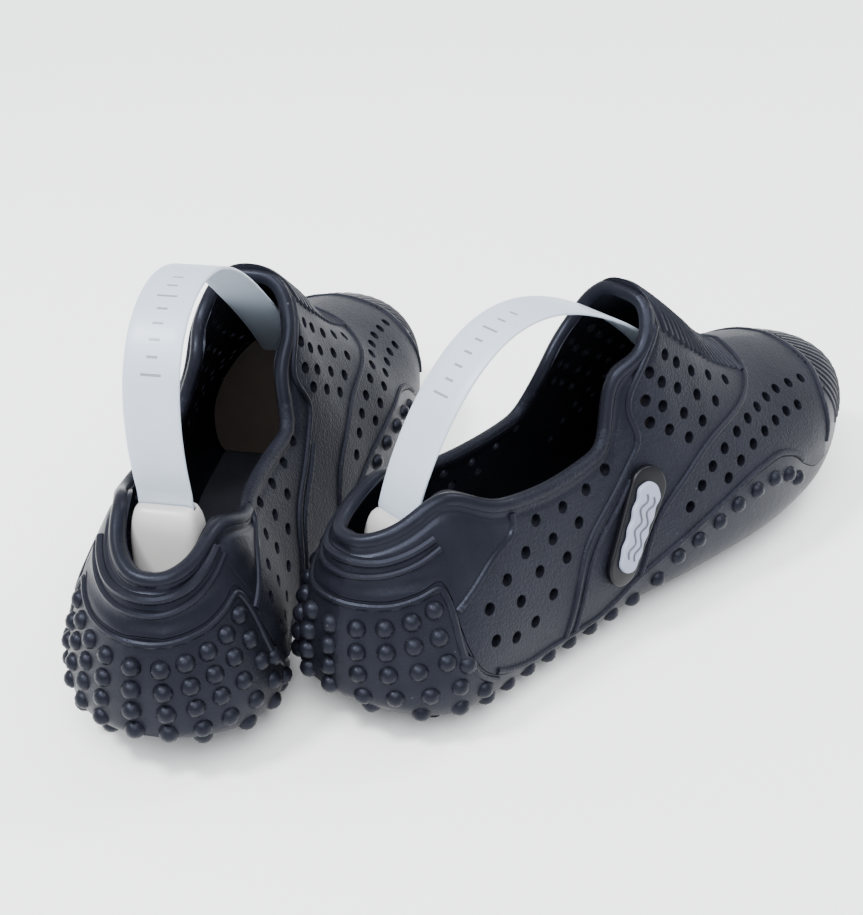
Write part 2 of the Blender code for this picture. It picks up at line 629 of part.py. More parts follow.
def clog_origin(side):
    """Empty at the clog's heel; the right clog's toe points along -Y."""
    empty = bpy.data.objects.new(side + "_clog", None)
    bpy.context.scene.collection.objects.link(empty)
    heel = Vector((0, 0, 0)) if side == "right" else Vector((*LEFT_HEEL, 0))
    turn = math.radians(-90)
    spot = (heel - Vector((*PAIR_CENTRE, 0))) * PAIR_SCALE * MM
    empty.location = Matrix.Rotation(turn, 3, "Z") @ spot
    empty.rotation_euler.z = turn + (math.radians(LEFT_TURN) if side == "left" else 0)
    return empty


def build():
    for obj in list(bpy.data.objects):
        bpy.data.objects.remove(obj)
    label_foot = BASE_SEAT + BASE_THICK + LABEL_SEAT
    common = {"upper": upper(), "outsole": outsole(), "footbed": footbed(),
              "badge_base": plate("badge_base", BASE_LENGTH, BASE_WIDTH, BASE_SEAT, BASE_SEAT + BASE_THICK),
              "badge_label": plate("badge_label", LABEL_LENGTH, LABEL_WIDTH, label_foot, label_foot + LABEL_THICK)}
    for side in ("right", "left"):
        line = strap_line(RIGHT_STRAP if side == "right" else LEFT_STRAP)
        origin = clog_origin(side)
        pieces = {name: mesh.copy() for name, mesh in common.items()}
        finishes = {name: name for name in common}
        for name, mesh, finish in (
                ("tree_heel_block", heel_block(side, line), "heel_block"),
                ("tree_heel_pin", pin(line, "heel"), "pin"),
                ("tree_strap", strap(line), "strap"),
                ("tree_toe_form", toe_form(line), "toe_form"),
                ("tree_toe_pin", pin(line, "toe"), "pin")):
            pieces[name], finishes[name] = mesh, finish
        for name, mesh in pieces.items():
            shape = mirrored(mesh) if side == "left" else mesh
            place(side + "_" + name, shape, finishes[name], origin)


build()
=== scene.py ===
"""Looks of a pair of perforated garden clogs with their shoe trees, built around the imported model.

Each clog is shaped as a right one in its own frame, in millimetres: +X to the toe, +Y to the big-toe
side, +Z up, heel at X = 0 and the ground at Z = 0.  The left one is its mirror image.
"""
import math

import bmesh
import bpy
import numpy as np
from bpy.props import FloatProperty, FloatVectorProperty, IntProperty, PointerProperty
from mathutils import Matrix, Vector, bvhtree, kdtree


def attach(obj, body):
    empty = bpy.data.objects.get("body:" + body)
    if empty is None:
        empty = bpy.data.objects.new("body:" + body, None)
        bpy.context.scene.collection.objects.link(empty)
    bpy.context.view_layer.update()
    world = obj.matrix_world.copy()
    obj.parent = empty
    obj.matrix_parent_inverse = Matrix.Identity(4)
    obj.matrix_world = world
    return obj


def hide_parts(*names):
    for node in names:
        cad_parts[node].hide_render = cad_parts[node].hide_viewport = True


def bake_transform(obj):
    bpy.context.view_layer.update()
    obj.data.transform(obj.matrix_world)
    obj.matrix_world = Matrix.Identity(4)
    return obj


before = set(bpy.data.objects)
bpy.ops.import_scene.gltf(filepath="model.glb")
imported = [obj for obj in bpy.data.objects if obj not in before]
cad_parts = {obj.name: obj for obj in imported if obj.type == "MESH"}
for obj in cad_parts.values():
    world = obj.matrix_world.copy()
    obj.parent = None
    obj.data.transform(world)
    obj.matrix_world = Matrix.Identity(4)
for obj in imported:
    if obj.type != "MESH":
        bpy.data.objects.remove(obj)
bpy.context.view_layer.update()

bl_info = {
    "name": "Garden Clogs",
    "version": (1, 0, 0),
    "blender": (4, 5, 0),
    "location": "View3D > Sidebar > Clogs",
    "description": "Builds the foam clogs and their shoe trees around the packed model",
    "category": "Object",
}

MM = 0.001
SIDES = ("right", "left")

# ---- sizes of one clog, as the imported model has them
CLOG_LENGTH = 285.0
WALL, ROOF, SOLE = 4.5, 5.5, 9.0
SOLE_SKIRT, GAP = 1.0, 0.3
STUD_HEIGHT, STUD_ROOT = 3.0, 1.5
FOOTBED_THICK, FOOTBED_SEAT, FOOTBED_CLEARANCE = 4.5, 0.8, 3.0
BADGE_CENTRE, BADGE_LEAN = (119.0, 45.0), 54.5
BASE_LENGTH, BASE_WIDTH, BASE_THICK, BASE_SEAT = 45.0, 15.0, 2.0, 0.6
LABEL_LENGTH, LABEL_WIDTH, LABEL_THICK, LABEL_SEAT = 34.0, 9.5, 1.0, 0.8
STRAP_WIDTH, STRAP_THICK, STRAP_GRIP = 19.0, 1.3, 13.0
TREE_SIDE = -3.0
BLOCK_HEIGHT, BLOCK_TOP_WIDTH, BLOCK_FOOT_WIDTH, BLOCK_DEPTH = 50.0, 19.5, 25.0, 20.0
BLOCK_CLEARANCE = 0.4
BLOCK_TOP = {"right": (36.5, 71.0), "left": (42.0, 83.0)}
TOE_FORM_START, TOE_FORM_END, TOE_FORM_CLEARANCE, FORM_SEAT = 184.0, 262.0, 5.0, 0.7
LEFT_HEEL, LEFT_TURN, PAIR_CENTRE = (-56.6, 13.8), 37.0, (106.35, 72.35)

# ---- outline tables, (station along the clog, value)
OUTER_SIDE = [(0, 36), (35, 42), (75, 40), (115, 40), (155, 44.5), (190, 46.5), (220, 44), (250, 38),
              (285, 30)]
INNER_SIDE = [(0, 29), (35, 33.5), (75, 27), (115, 31.5), (155, 38), (190, 44), (220, 43.5), (250, 39),
              (285, 31)]
ROOF_LINE = [(0, 100), (60, 109), (110, 115), (140, 127), (150, 120), (175, 99.5), (200, 80), (225, 71),
             (250, 64), (285, 56)]
KEEL_LINE = [(0, 14), (25, 5), (60, 3), (200, 3), (240, 6), (285, 16)]
WIDEST_LINE = [(0, 24), (60, 24), (200, 34), (285, 36)]
SHOULDER = [(0, 1.15), (60, 1.75), (110, 1.4), (150, 1.55), (200, 1.85), (285, 2.4)]
FULLNESS = [(0, 0.86), (60, 0.93), (110, 0.92), (150, 0.9), (200, 0.7), (285, 0.5)]
COLLAR_OUTER = [(0, 72.5), (12, 76.5), (33, 84), (60, 75.5), (90, 73), (112, 75), (126, 99), (138, 105),
                (150, 125)]
COLLAR_INNER = [(0, 72.5), (12, 73.5), (33, 78), (60, 70.5), (90, 71), (112, 72), (126, 94), (138, 105),
                (150, 125)]
SOLE_LINE = [(0, 55), (10, 55.5), (20, 58), (27, 60.5), (30, 56), (33, 40), (40, 25), (52, 17), (66, 13.5),
             (96, 13.5), (120, 21), (163, 37), (185, 43), (196, 44), (206, 41), (216, 33), (228, 27),
             (250, 26.5), (268, 28.5), (281, 33.5), (285, 35)]
TONGUE_STATION = 147.0
TONGUE_HALF, TONGUE_POWER = STRAP_WIDTH / 2 + WALL + 4.0, 10
TONGUE_REACH = [(108, 0), (136, 1), (162, 1), (200, 0)]
HEEL_ROUND, TOE_ROUND, NOSE_ROUNDNESS = 40.6, 55.5, 2.3
SQUARENESS = 3.6
HEEL_LEAN, HEEL_BULGE, LEAN_REACH = 15.3, 4.8, 90.0
NOSE_FLAT, TOE_SWING = 4.0, 4.0

# ---- what is set out on each side wall: (station, height)
REAR_HOLES = [(112, 68), (101, 65), (88, 64), (94, 56), (74, 65), (80, 56), (85, 47), (66, 57), (71, 48),
              (76, 37), (55, 52), (60, 42), (66, 31), (45, 46), (56, 30), (46, 34)]
INSTEP_HOLES = [(148, 99), (154, 94), (162, 88), (173, 82), (184, 76), (138, 96), (143, 91), (151, 86),
                (161, 80), (171, 74), (134, 87), (141, 83), (151, 77), (160, 71), (134, 79), (142, 74),
                (151, 68)]
FOREFOOT_HOLES = [(146, 43), (153, 49), (160, 54), (168, 58), (177, 61), (186, 62.5), (195, 63), (204, 63),
                  (213, 62.5), (223, 61), (233, 59), (167, 47), (175, 51), (184, 54), (193, 55.5), (202, 56),
                  (211, 56), (220, 55)]
CUP_STUDS = [(0.4, 45), (4, 46), (10, 47), (17, 49), (24, 52), (0.4, 37), (4, 38), (10, 39), (17, 41),
             (24.5, 43), (0.4, 29), (4, 30), (10, 31), (17.5, 32), (26, 34), (0.4, 21), (4.5, 21.5),
             (11, 22), (20, 22.5), (29.5, 23.5), (33, 31), (8, 14.5), (18, 13.5), (30, 13.5), (40, 17)]
WING_STUDS = [(140, 24), (150, 27.5), (161, 31), (171, 34.5), (182, 36.5), (193, 37), (203, 34.5), (211, 29)]
EDGE_STUDS = [(43, 10), (54, 9.3), (65, 9), (76, 9), (87, 9), (98, 9.4), (109, 10.3), (120, 12), (131, 17)]
TREAD_STEP, TREAD_SHARES = 29.0, (-0.6, -0.2, 0.2, 0.6)

# ---- raised lines on each side wall: (station, height)
HEEL_LINE = [(0, 66.5), (8, 67), (16, 69), (27, 73)]
SECOND_HEEL_LINE = [(0, 62), (8, 63), (18, 65.5), (29, 70)]
STEP_LINE = [(64, 71), (62.5, 66), (55, 62.5), (44, 57), (32, 50)]
QUARTER_LINE = [(146, 110), (139, 103), (131, 94), (127, 85), (128, 74), (124, 68), (110, 56), (96, 46),
                (88, 32), (82, 16)]
SECOND_QUARTER_LINE = [(122, 61), (113, 53), (100, 43.5), (92, 31), (87, 16)]
VAMP_LINE = [(121, 23), (131, 43), (146, 55), (161, 63), (180, 67), (198, 70), (206, 74)]
TOE_CAP_LINE = [(236, 34), (238, 45), (243, 54), (248, 59.5)]
RIB_EDGE = [(148, 109), (161, 98), (173, 89), (185, 80.5), (203, 71)]
GRAIN_REAR = [(66, 80), (62, 65), (47, 59), (31, 50), (31, 36), (43, 20), (57, 14), (81, 10), (88, 32),
              (96, 46), (110, 56), (128, 72), (124, 80)]
GRAIN_FRONT = [(79, 8), (88, 32), (96, 46), (110, 56), (128, 74), (127, 85), (131, 94), (139, 103),
               (150, 130), (243, 130), (248, 60), (240, 50), (236, 34), (236, 0)]

# ---- strap line of each tree: (station, height)
STRAP_LINE = {
    "right": [(36.5, 72), (39.5, 80), (46, 93), (55, 106), (66, 117), (80, 125), (97, 127), (114, 123),
              (131, 115), (150, 102), (169, 84), (187, 63)],
    "left": [(42, 87), (40.5, 96), (40, 113), (44, 129), (54, 141), (68, 147), (84, 147), (102, 140.5),
             (118, 130), (134, 116.5), (151, 101), (169, 83), (187, 63)],
}

# ---- fineness of the meshes
COLUMNS, UPPER_COUNT, SOLE_COUNT = 170, 52, 34
TIP_CROWD = (0.15, 0.4, 0.8, 1.4, 2.2, 3.2)

# ---- how the moulded detail is set into the walls
LINE_SUNK, HEEL_LINE_SUNK, RIB_SUNK, STUD_SUNK = 0.35, 0.3, 0.65, 1.0
RIM_SET, RIM_DROP = 0.5, 2.0           # the rim's middle, outwards of the wall's and below its edge
RIM_CUT = 0.9                          # the walls stop this far under the collar edge, inside the rim
CUTTER_WALLS = 5.0                     # length of a hole cutter, in wall thicknesses
TONGUE_RIBS = (150.0, 200.5)           # first and last station of the ribs


# ---------------------------------------------------------------- settings
class ClogSizes(bpy.types.PropertyGroup):
    """Sizes of the moulded detail."""

    rim_radius: FloatProperty(name="Rim radius", description="Rolled edge round the foot opening",
                              default=0.0027, unit="LENGTH")
    line_radius: FloatProperty(name="Line radius", description="Raised lines on the side walls",
                               default=0.0014, unit="LENGTH")
    hole_radius: FloatProperty(name="Hole radius", description="Perforations", default=0.0023, unit="LENGTH")
    stud_radius: FloatProperty(name="Stud radius", description="Domed studs of the sole",
                               default=0.0036, unit="LENGTH")
    rib_radius: FloatProperty(name="Rib radius", description="Ribs of the tongue panel and the toe cap",
                              default=0.0017, unit="LENGTH")
    rib_pitch: FloatProperty(name="Rib pitch", description="Spacing of the tongue ribs", default=0.0033,
                             unit="LENGTH")
    toe_ribs: IntProperty(name="Toe ribs", description="Ribs round the toe cap", default=25, min=3)


class ClogFinish(bpy.types.PropertyGroup):
    """Colours of the finishes."""

    foam: FloatVectorProperty(name="Foam", description="Moulded foam of the upper", subtype="COLOR", size=3,
                              default=(0.0040, 0.0042, 0.0066))
    rubber: FloatVectorProperty(name="Sole", description="Studded sole", subtype="COLOR", size=3,
                                default=(0.0036, 0.0038, 0.0060))
    strap: FloatVectorProperty(name="Strap", description="Outer face of the strap", subtype="COLOR", size=3,
                               default=(0.40, 0.46, 0.54))
    strap_back: FloatVectorProperty(name="Strap back", description="Inner face of the strap", subtype="COLOR",
                                    size=3, default=(0.46, 0.42, 0.34))
    block: FloatVectorProperty(name="Block", description="Moulded parts of the shoe tree", subtype="COLOR",
                               size=3, default=(0.38, 0.37, 0.365))
    label: FloatVectorProperty(name="Label", description="Inlay of the side badge", subtype="COLOR", size=3,
                               default=(0.22, 0.245, 0.33))


# ---------------------------------------------------------------- curves and surface
def smooth(table, x):
    """Value at x of a monotone cubic through the table's points."""
    points = np.array(table, float)
    px, py = points[:, 0], points[:, 1]
    step, rise = np.diff(px), np.diff(py) / np.diff(px)
    slope = np.zeros(len(px))
    slope[0], slope[-1] = rise[0], rise[-1]
    for i in range(1, len(px) - 1):
        if rise[i - 1] * rise[i] > 0:
            w1, w2 = 2 * step[i] + step[i - 1], step[i] + 2 * step[i - 1]
            slope[i] = (w1 + w2) / (w1 / rise[i - 1] + w2 / rise[i])
    x = np.clip(x, px[0], px[-1])
    i = np.clip(np.searchsorted(px, x, side="right") - 1, 0, len(px) - 2)
    u = (x - px[i]) / step[i]
    return ((1 + 2 * u) * (1 - u) ** 2 * py[i] + u * (1 - u) ** 2 * step[i] * slope[i]
            + u * u * (3 - 2 * u) * py[i + 1] + u * u * (u - 1) * step[i] * slope[i + 1])


def nose(share):
    """Superellipse quarter: 0 at the very end of the clog, 1 where its round end begins."""
    share = np.clip(share, 0, 1)
    return (1 - (1 - share) ** NOSE_ROUNDNESS) ** (1 / NOSE_ROUNDNESS)


def limits(x, inset=0.0, roof=0.0, lift=0.0):
    """Heights of the keel, the widest line and the closed roof at station x."""
    heel, toe = nose(x / HEEL_ROUND), nose((CLOG_LENGTH - x) / TOE_ROUND)
    widest = smooth(WIDEST_LINE, x)
    top = widest + (smooth(ROOF_LINE, x) - roof - widest) * toe ** 0.8
    keel = widest - (widest - smooth(KEEL_LINE, x) - lift) * toe * (0.35 + 0.65 * heel)
    return keel, widest, top


def heel_shift(x, z, widest):
    """How far the heel's wall leans and bulges towards the toe at this height."""
    near = np.clip(1 - x / LEAN_REACH, 0, 1) ** 2
    above, below = np.clip((z - widest) / 50, 0, 2), np.clip((widest - z) / 25, 0, 1)
    return near * (HEEL_LEAN * above ** 2 + HEEL_BULGE * below ** 2)


def wall(x, z, side, inset=0.0, roof=0.0, lift=0.0):
    """Point of the wall at station x and height z; side is -1 outer, +1 inner (big toe)."""
    x, z = np.broadcast_arrays(np.asarray(x, float), np.asarray(z, float))
    outer, inner = smooth(OUTER_SIDE, x), smooth(INNER_SIDE, x)
    heel, toe = nose(x / HEEL_ROUND), nose((CLOG_LENGTH - x) / TOE_ROUND)
    half = ((outer + inner) / 2 - inset) * heel * toe
    centre = (inner - outer) / 2 * heel + TOE_SWING * np.clip((x - 200) / 85, 0, 1) ** 2
    keel, widest, top = limits(x, inset, roof, lift)
    rise = np.clip((z - widest) / np.maximum(top - widest, 1e-6), 0, 1)
    drop = np.clip((widest - z) / np.maximum(widest - keel, 1e-6), 0, 1)
    spread = np.where(z >= widest, (1 - rise ** smooth(SHOULDER, x)) ** smooth(FULLNESS, x),
                      (1 - drop ** SQUARENESS) ** (1 / SQUARENESS))
    head = ((TONGUE_HALF - inset) * smooth(TONGUE_REACH, x) * np.minimum(2 * rise, 1)
            * np.sqrt(1 - rise ** TONGUE_POWER))
    reach = ((half * spread) ** 4 + head ** 4) ** 0.25
    squeeze = inset + x * (CLOG_LENGTH - 2 * inset) / CLOG_LENGTH
    return np.stack([squeeze + heel_shift(x, z, widest), centre + side * reach, z], -1)


def wall_frame(x, z, side, outward=0.0):
    """Point on the outer wall, moved outward, with the unit normal there."""
    reach = 0.5
    along = wall(x + reach, z, side) - wall(x - reach, z, side)
    up = wall(x, z + reach, side) - wall(x, z - reach, side)
    normal = np.cross(up, along) * side
    normal /= np.linalg.norm(normal, axis=-1, keepdims=True)
    return wall(x, z, side) + normal * outward, normal


def collar(x, side):
    """Height of the collar edge; over the closed forefoot it is the roof."""
    top = limits(x)[2]
    edge = smooth(COLLAR_OUTER if side < 0 else COLLAR_INNER, x)
    return np.where(x < TONGUE_STATION, np.minimum(edge, top), top)


def sole_line(x, shift):
    """Height of the bond line, moved by shift at right angles to itself; it clears the inner floor."""
    def line(at):
        return np.maximum(smooth(SOLE_LINE, at), limits(at, lift=SOLE)[0] + SOLE_SKIRT)

    reach = 0.5
    slope = (line(x + reach) - line(x - reach)) / (2 * reach)
    return line(x) + shift * np.sqrt(1 + slope ** 2)


def stations(first=0.9, last=CLOG_LENGTH - NOSE_FLAT, count=COLUMNS):
    """Stations crowded towards both round ends and close behind the tongue tip."""
    xs = first + (last - first) * (1 - np.cos(np.pi * np.linspace(0, 1, count))) / 2
    xs = xs * 0.6 + np.linspace(first, last, count) * 0.4
    xs[np.argmin(abs(xs - TONGUE_STATION))] = TONGUE_STATION
    xs = xs[(xs > TONGUE_STATION - 1e-6) | (xs < TONGUE_STATION - max(TIP_CROWD) - 0.3)]
    return np.sort(np.append(xs, [TONGUE_STATION - step for step in TIP_CROWD]))


def spline(points, spacing):
    """Evenly spaced points along a natural cubic through the given ones, in two or three dimensions."""
    pts = np.array(points, float)
    chord = np.concatenate([[0], np.cumsum(np.linalg.norm(np.diff(pts, axis=0), axis=1))])
    at = np.linspace(0, chord[-1], max(int(chord[-1] / spacing), 2) + 1)
    size = len(pts)
    system, right = np.eye(size), np.zeros_like(pts)
    for i in range(1, size - 1):
        h0, h1 = chord[i] - chord[i - 1], chord[i + 1] - chord[i]
        system[i, i - 1:i + 2] = (h0, 2 * (h0 + h1), h1)
        right[i] = 6 * ((pts[i + 1] - pts[i]) / h1 - (pts[i] - pts[i - 1]) / h0)
    bend = np.linalg.solve(system, right)
    i = np.clip(np.searchsorted(chord, at) - 1, 0, size - 2)
    h = (chord[i + 1] - chord[i])[:, None]
    a, b = (chord[i + 1] - at)[:, None] / h, (at - chord[i])[:, None] / h
    return a * pts[i] + b * pts[i + 1] + ((a ** 3 - a) * bend[i] + (b ** 3 - b) * bend[i + 1]) * h * h / 6


def even(path, spacing):
    """The same path with its points evenly spaced."""
    chord = np.concatenate([[0], np.cumsum(np.linalg.norm(np.diff(path, axis=0), axis=1))])
    at = np.linspace(0, chord[-1], max(int(chord[-1] / spacing), 2) + 1)
    return np.stack([np.interp(at, chord, path[:, k]) for k in range(path.shape[1])], -1)


# ---------------------------------------------------------------- node graphs
class Wire:
    """An output socket; arithmetic on it adds Math nodes to its tree."""

    def __init__(self, graph, socket):
        self.graph, self.socket = graph, socket

    def _math(self, operation, *values):
        return self.graph.node("ShaderNodeMath", {"operation": operation}, dict(enumerate(values)))

    def __add__(self, other):
        return self._math("ADD", self, other)

    def __radd__(self, other):
        return self._math("ADD", other, self)

    def __sub__(self, other):
        return self._math("SUBTRACT", self, other)

    def __rsub__(self, other):
        return self._math("SUBTRACT", other, self)

    def __mul__(self, other):
        return self._math("MULTIPLY", self, other)

    def __rmul__(self, other):
        return self._math("MULTIPLY", other, self)

    def __gt__(self, other):
        return self._math("GREATER_THAN", self, other)

    def __lt__(self, other):
        return self._math("LESS_THAN", self, other)

    def __abs__(self):
        return self._math("ABSOLUTE", self)

    def fraction(self):
        return self._math("FRACT", self)

    def between(self, low, high, start=0.0, end=1.0):
        """The value's smooth rise from low to high, scaled to start and end."""
        return self.graph.node("ShaderNodeMapRange", {"interpolation_type": "SMOOTHSTEP"},
                               {"Value": self, "From Min": low, "From Max": high, "To Min": start,
                                "To Max": end})


class Graph:
    """Adds nodes to one node tree."""

    def __init__(self, tree):
        self.tree = tree

    def node(self, kind, settings=None, sockets=None, out=0):
        """A node of any kind: its settings come first, then its sockets' values or links."""
        made = self.tree.nodes.new(kind)
        for key, value in (settings or {}).items():
            setattr(made, key, value)
        for key, value in (sockets or {}).items():
            if isinstance(value, Wire):
                self.tree.links.new(value.socket, made.inputs[key])
            else:
                made.inputs[key].default_value = value
        return Wire(self, made.outputs[out])

    def mix(self, share, first, second):
        """Colour between two colours."""
        return self.node("ShaderNodeMix", {"data_type": "RGBA"}, {0: share, 6: first, 7: second}, out=2)

    def noise(self, scale, detail=2.0, roughness=0.5):
        place = self.node("ShaderNodeTexCoord", out=3)
        return self.node("ShaderNodeTexNoise", None, {"Vector": place, "Scale": scale, "Detail": detail,
                                                      "Roughness": roughness})

    def attribute(self, name):
        return self.node("ShaderNodeAttribute", {"attribute_name": name}, out=2)


def opaque(colour):
    return (*colour, 1.0)


def material(name, build, **constants):
    """A Principled material: constants go on the shader's own sockets, build links what varies."""
    made = bpy.data.materials.new(name)
    made.use_nodes = True
    shader = made.node_tree.nodes["Principled BSDF"]
    for key, value in constants.items():
        shader.inputs[key.replace("_", " ")].default_value = value
    graph = Graph(made.node_tree)
    for key, wire in build(graph).items():
        made.node_tree.links.new(wire.socket, shader.inputs[key])
    made.diffuse_color = opaque(constants.get("Base_Color", (0.5, 0.5, 0.5))[:3])
    return made


def bump(graph, height, strength, distance):
    return graph.node("ShaderNodeBump", None, {"Height": height, "Strength": strength, "Distance": distance})


# ---------------------------------------------------------------- finishes
def foam_material(name, colour, grainy):
    """Moulded foam: fine grain on the perforated panels, satin on the smooth ones, faint dust."""
    def build(graph):
        cloud, grain = graph.noise(60, 3), graph.noise(1000, 2, 0.6)
        speck = graph.noise(420, 2).between(0.76, 0.78)
        panel = graph.attribute("grain") if grainy else cloud * 0.3
        lighter = tuple(c * 1.5 + 0.001 for c in colour)
        base = graph.mix(cloud.between(0.3, 0.75), opaque(colour), opaque(lighter))
        base = graph.mix(grain.between(0.5, 0.8) * panel * 0.5, base, (0.013, 0.015, 0.024, 1))
        base = graph.mix(speck * 0.25, base, (0.16, 0.17, 0.19, 1))
        rough = panel * 0.12 + cloud * 0.12 + grain * 0.08 + speck * 0.2 + 0.27
        relief = grain * (panel * 0.85 + 0.15) + graph.noise(240, 2) * 0.3
        return {"Base Color": base, "Roughness": rough, "Normal": bump(graph, relief, 0.55, 0.0007)}

    # painted light: the blue specular tint stands in for the bluish light seen in the foam's reflections
    return material(name, build, Specular_IOR_Level=0.17, Specular_Tint=(0.68, 0.75, 1.0, 1))


def strap_material(name, colour, marks):
    """Flexible strip with a soft sheen, light scuffs and, on its outer face, a printed scale."""
    def build(graph):
        place = graph.node("ShaderNodeUVMap", {"uv_map": "strip"})
        split = graph.node("ShaderNodeSeparateXYZ", None, {0: place})
        along, side = split, Wire(graph, split.socket.node.outputs[1])
        scuff = graph.noise(900, 3, 0.7).between(0.62, 0.8)
        cloud = graph.noise(35, 3)
        base = graph.mix(cloud.between(0.3, 0.8) * 0.5, opaque(colour), opaque([c * 0.86 for c in colour]))
        base = graph.mix(scuff * 0.25, base, (0.30, 0.29, 0.27, 1))
        if marks:
            tick = (along * 180).fraction() < 0.16
            long_tick = (along * 36).fraction() < 0.034
            reach = long_tick * 0.0016 + 0.0018
            shown = (along > 0.052) * (along < 0.098) * (abs(side) < reach)
            base = graph.mix(tick * shown * 0.8, base, (0.11, 0.12, 0.14, 1))
        rough = cloud * 0.12 + scuff * 0.2 + 0.33
        return {"Base Color": base, "Roughness": rough,
                "Normal": bump(graph, cloud + scuff * 0.3, 0.08, 0.0004)}

    return material(name, build, Specular_IOR_Level=0.5)


def plastic_material(name, colour, rough, depth=0.12, specular=0.45):
    """Moulded plastic with a faint flow pattern, fine grain and handling marks."""
    def build(graph):
        cloud, grain = graph.noise(45, 3), graph.noise(1300, 2)
        scuff = graph.noise(380, 3, 0.7).between(0.6, 0.78)
        base = graph.mix(cloud.between(0.3, 0.8) * 0.6, opaque(colour), opaque([c * 0.84 for c in colour]))
        base = graph.mix(scuff * 0.2, base, opaque([c * 0.55 for c in colour]))
        return {"Base Color": base, "Roughness": cloud * 0.12 + scuff * 0.15 + (rough - 0.06),
                "Normal": bump(graph, grain + cloud, depth, 0.0003)}

    return material(name, build, Specular_IOR_Level=specular)


def footbed_material(name, colour):
    """Matte insole foam with rows of pressed dimples, each darkened with painted shade."""
    def build(graph):
        place = graph.node("ShaderNodeTexCoord", out=3)
        cells = graph.node("ShaderNodeTexVoronoi", {"feature": "F1"}, {"Vector": place, "Scale": 190,
                                                                      "Randomness": 0.0})
        cloud, grain = graph.noise(50, 3), graph.noise(1100, 3)
        dimple = cells.between(0.12, 0.34)
        base = graph.mix(cloud.between(0.3, 0.8), opaque(colour), opaque([c * 1.8 for c in colour]))
        # painted shade: the middle of each pressed dimple is darkened to half the insole's colour
        base = graph.mix(1 - dimple, base, opaque([c * 0.5 for c in colour]))
        return {"Base Color": base, "Roughness": cloud * 0.1 + 0.72,
                "Normal": bump(graph, dimple + grain * 0.3, 0.5, 0.0006)}

    return material(name, build)


def metal_material(name):
    """Plain plated steel with fine turning marks."""
    def build(graph):
        cloud, grain = graph.noise(300, 2), graph.noise(2600, 2)
        base = graph.mix(cloud, (0.56, 0.57, 0.60, 1), (0.42, 0.43, 0.46, 1))
        return {"Base Color": base, "Roughness": cloud * 0.2 + 0.22,
                "Normal": bump(graph, grain, 0.1, 0.0001)}

    return material(name, build, Metallic=1.0)


def stage_material(name):
    def build(graph):
        cloud = graph.noise(3, 2)
        return {"Base Color": graph.mix(cloud, (0.90, 0.90, 0.90, 1), (0.915, 0.915, 0.915, 1)),
                "Roughness": cloud * 0.1 + 0.85}

    return material(name, build, Specular_IOR_Level=0.1)


FINISHES = {}


def finish(name):
    """The named finish, made once."""
    look = bpy.context.scene.clog_finish
    makers = {
        "foam": lambda: foam_material("foam", tuple(look.foam), True),
        "rubber": lambda: foam_material("rubber", tuple(look.rubber), False),
        "strap": lambda: strap_material("strap", tuple(look.strap), True),
        "strap_back": lambda: strap_material("strap_back", tuple(look.strap_back), False),
        "block": lambda: plastic_material("block", tuple(look.block), 0.36),
        "footbed": lambda: footbed_material("footbed", (0.010, 0.011, 0.016)),
        "badge": lambda: plastic_material("badge", (0.0025, 0.0028, 0.0045), 0.32, 0.05, 0.2),
        "label": lambda: plastic_material("label", tuple(look.label), 0.45),
        # painted shade: the toe form is the heel block's plastic, but is painted dark brown for the shade
        # inside the clog's toe
        "form": lambda: plastic_material("form", (0.075, 0.062, 0.055), 0.6, 0.12, 0.1),
        "ink": lambda: plastic_material("ink", (0.05, 0.055, 0.075), 0.5),
        "pin": lambda: metal_material("pin"),
        "stage": lambda: stage_material("stage"),
    }
    if name not in FINISHES:
        FINISHES[name] = makers[name]()
    return FINISHES[name]


# ---------------------------------------------------------------- meshes
def mesh_from(name, verts, faces, edges=()):
    """A mesh from millimetre points, its doubles merged and its faces turned outwards."""
    mesh = bpy.data.meshes.new(name)
    mesh.from_pydata((np.asarray(verts) * MM).tolist(), list(edges), faces)
    if faces:
        work = bmesh.new()
        work.from_mesh(mesh)
        bmesh.ops.remove_doubles(work, verts=work.verts, dist=1e-5)
        bmesh.ops.dissolve_degenerate(work, edges=work.edges, dist=1e-6)
        bmesh.ops.recalc_face_normals(work, faces=work.faces)
        work.to_mesh(mesh)
        work.free()
    return mesh


def new_object(name, mesh):
    obj = bpy.data.objects.new(name, mesh)
    bpy.context.scene.collection.objects.link(obj)
    return obj


def grid_faces(columns, rows, start=0, closed=False):
    faces = []
    for i in range(columns - 1):
        for j in range(rows - (0 if closed else 1)):
            k = (j + 1) % rows
            a, b = start + i * rows, start + (i + 1) * rows
            faces.append([a + j, b + j, b + k, a + k])
    return faces


def ring_loft(name, rings):
    """Closed skin over rings of equal count, with flat ends."""
    count = len(rings[0])
    total = count * len(rings)
    faces = [list(range(count)), list(range(total - count, total))] + grid_faces(len(rings), count, 0, True)
    return mesh_from(name, np.concatenate(rings), faces)


def both_walls(xs, shares, low, high, **insets):
    """Grids of wall points, outer side then inner side, from height low to height high."""
    grids = []
    for side in (-1, 1):
        z0, z1 = low(xs, side)[:, None], high(xs, side)[:, None]
        grids.append(wall(xs[:, None], z0 + (z1 - z0) * shares, side, **insets))
    return grids


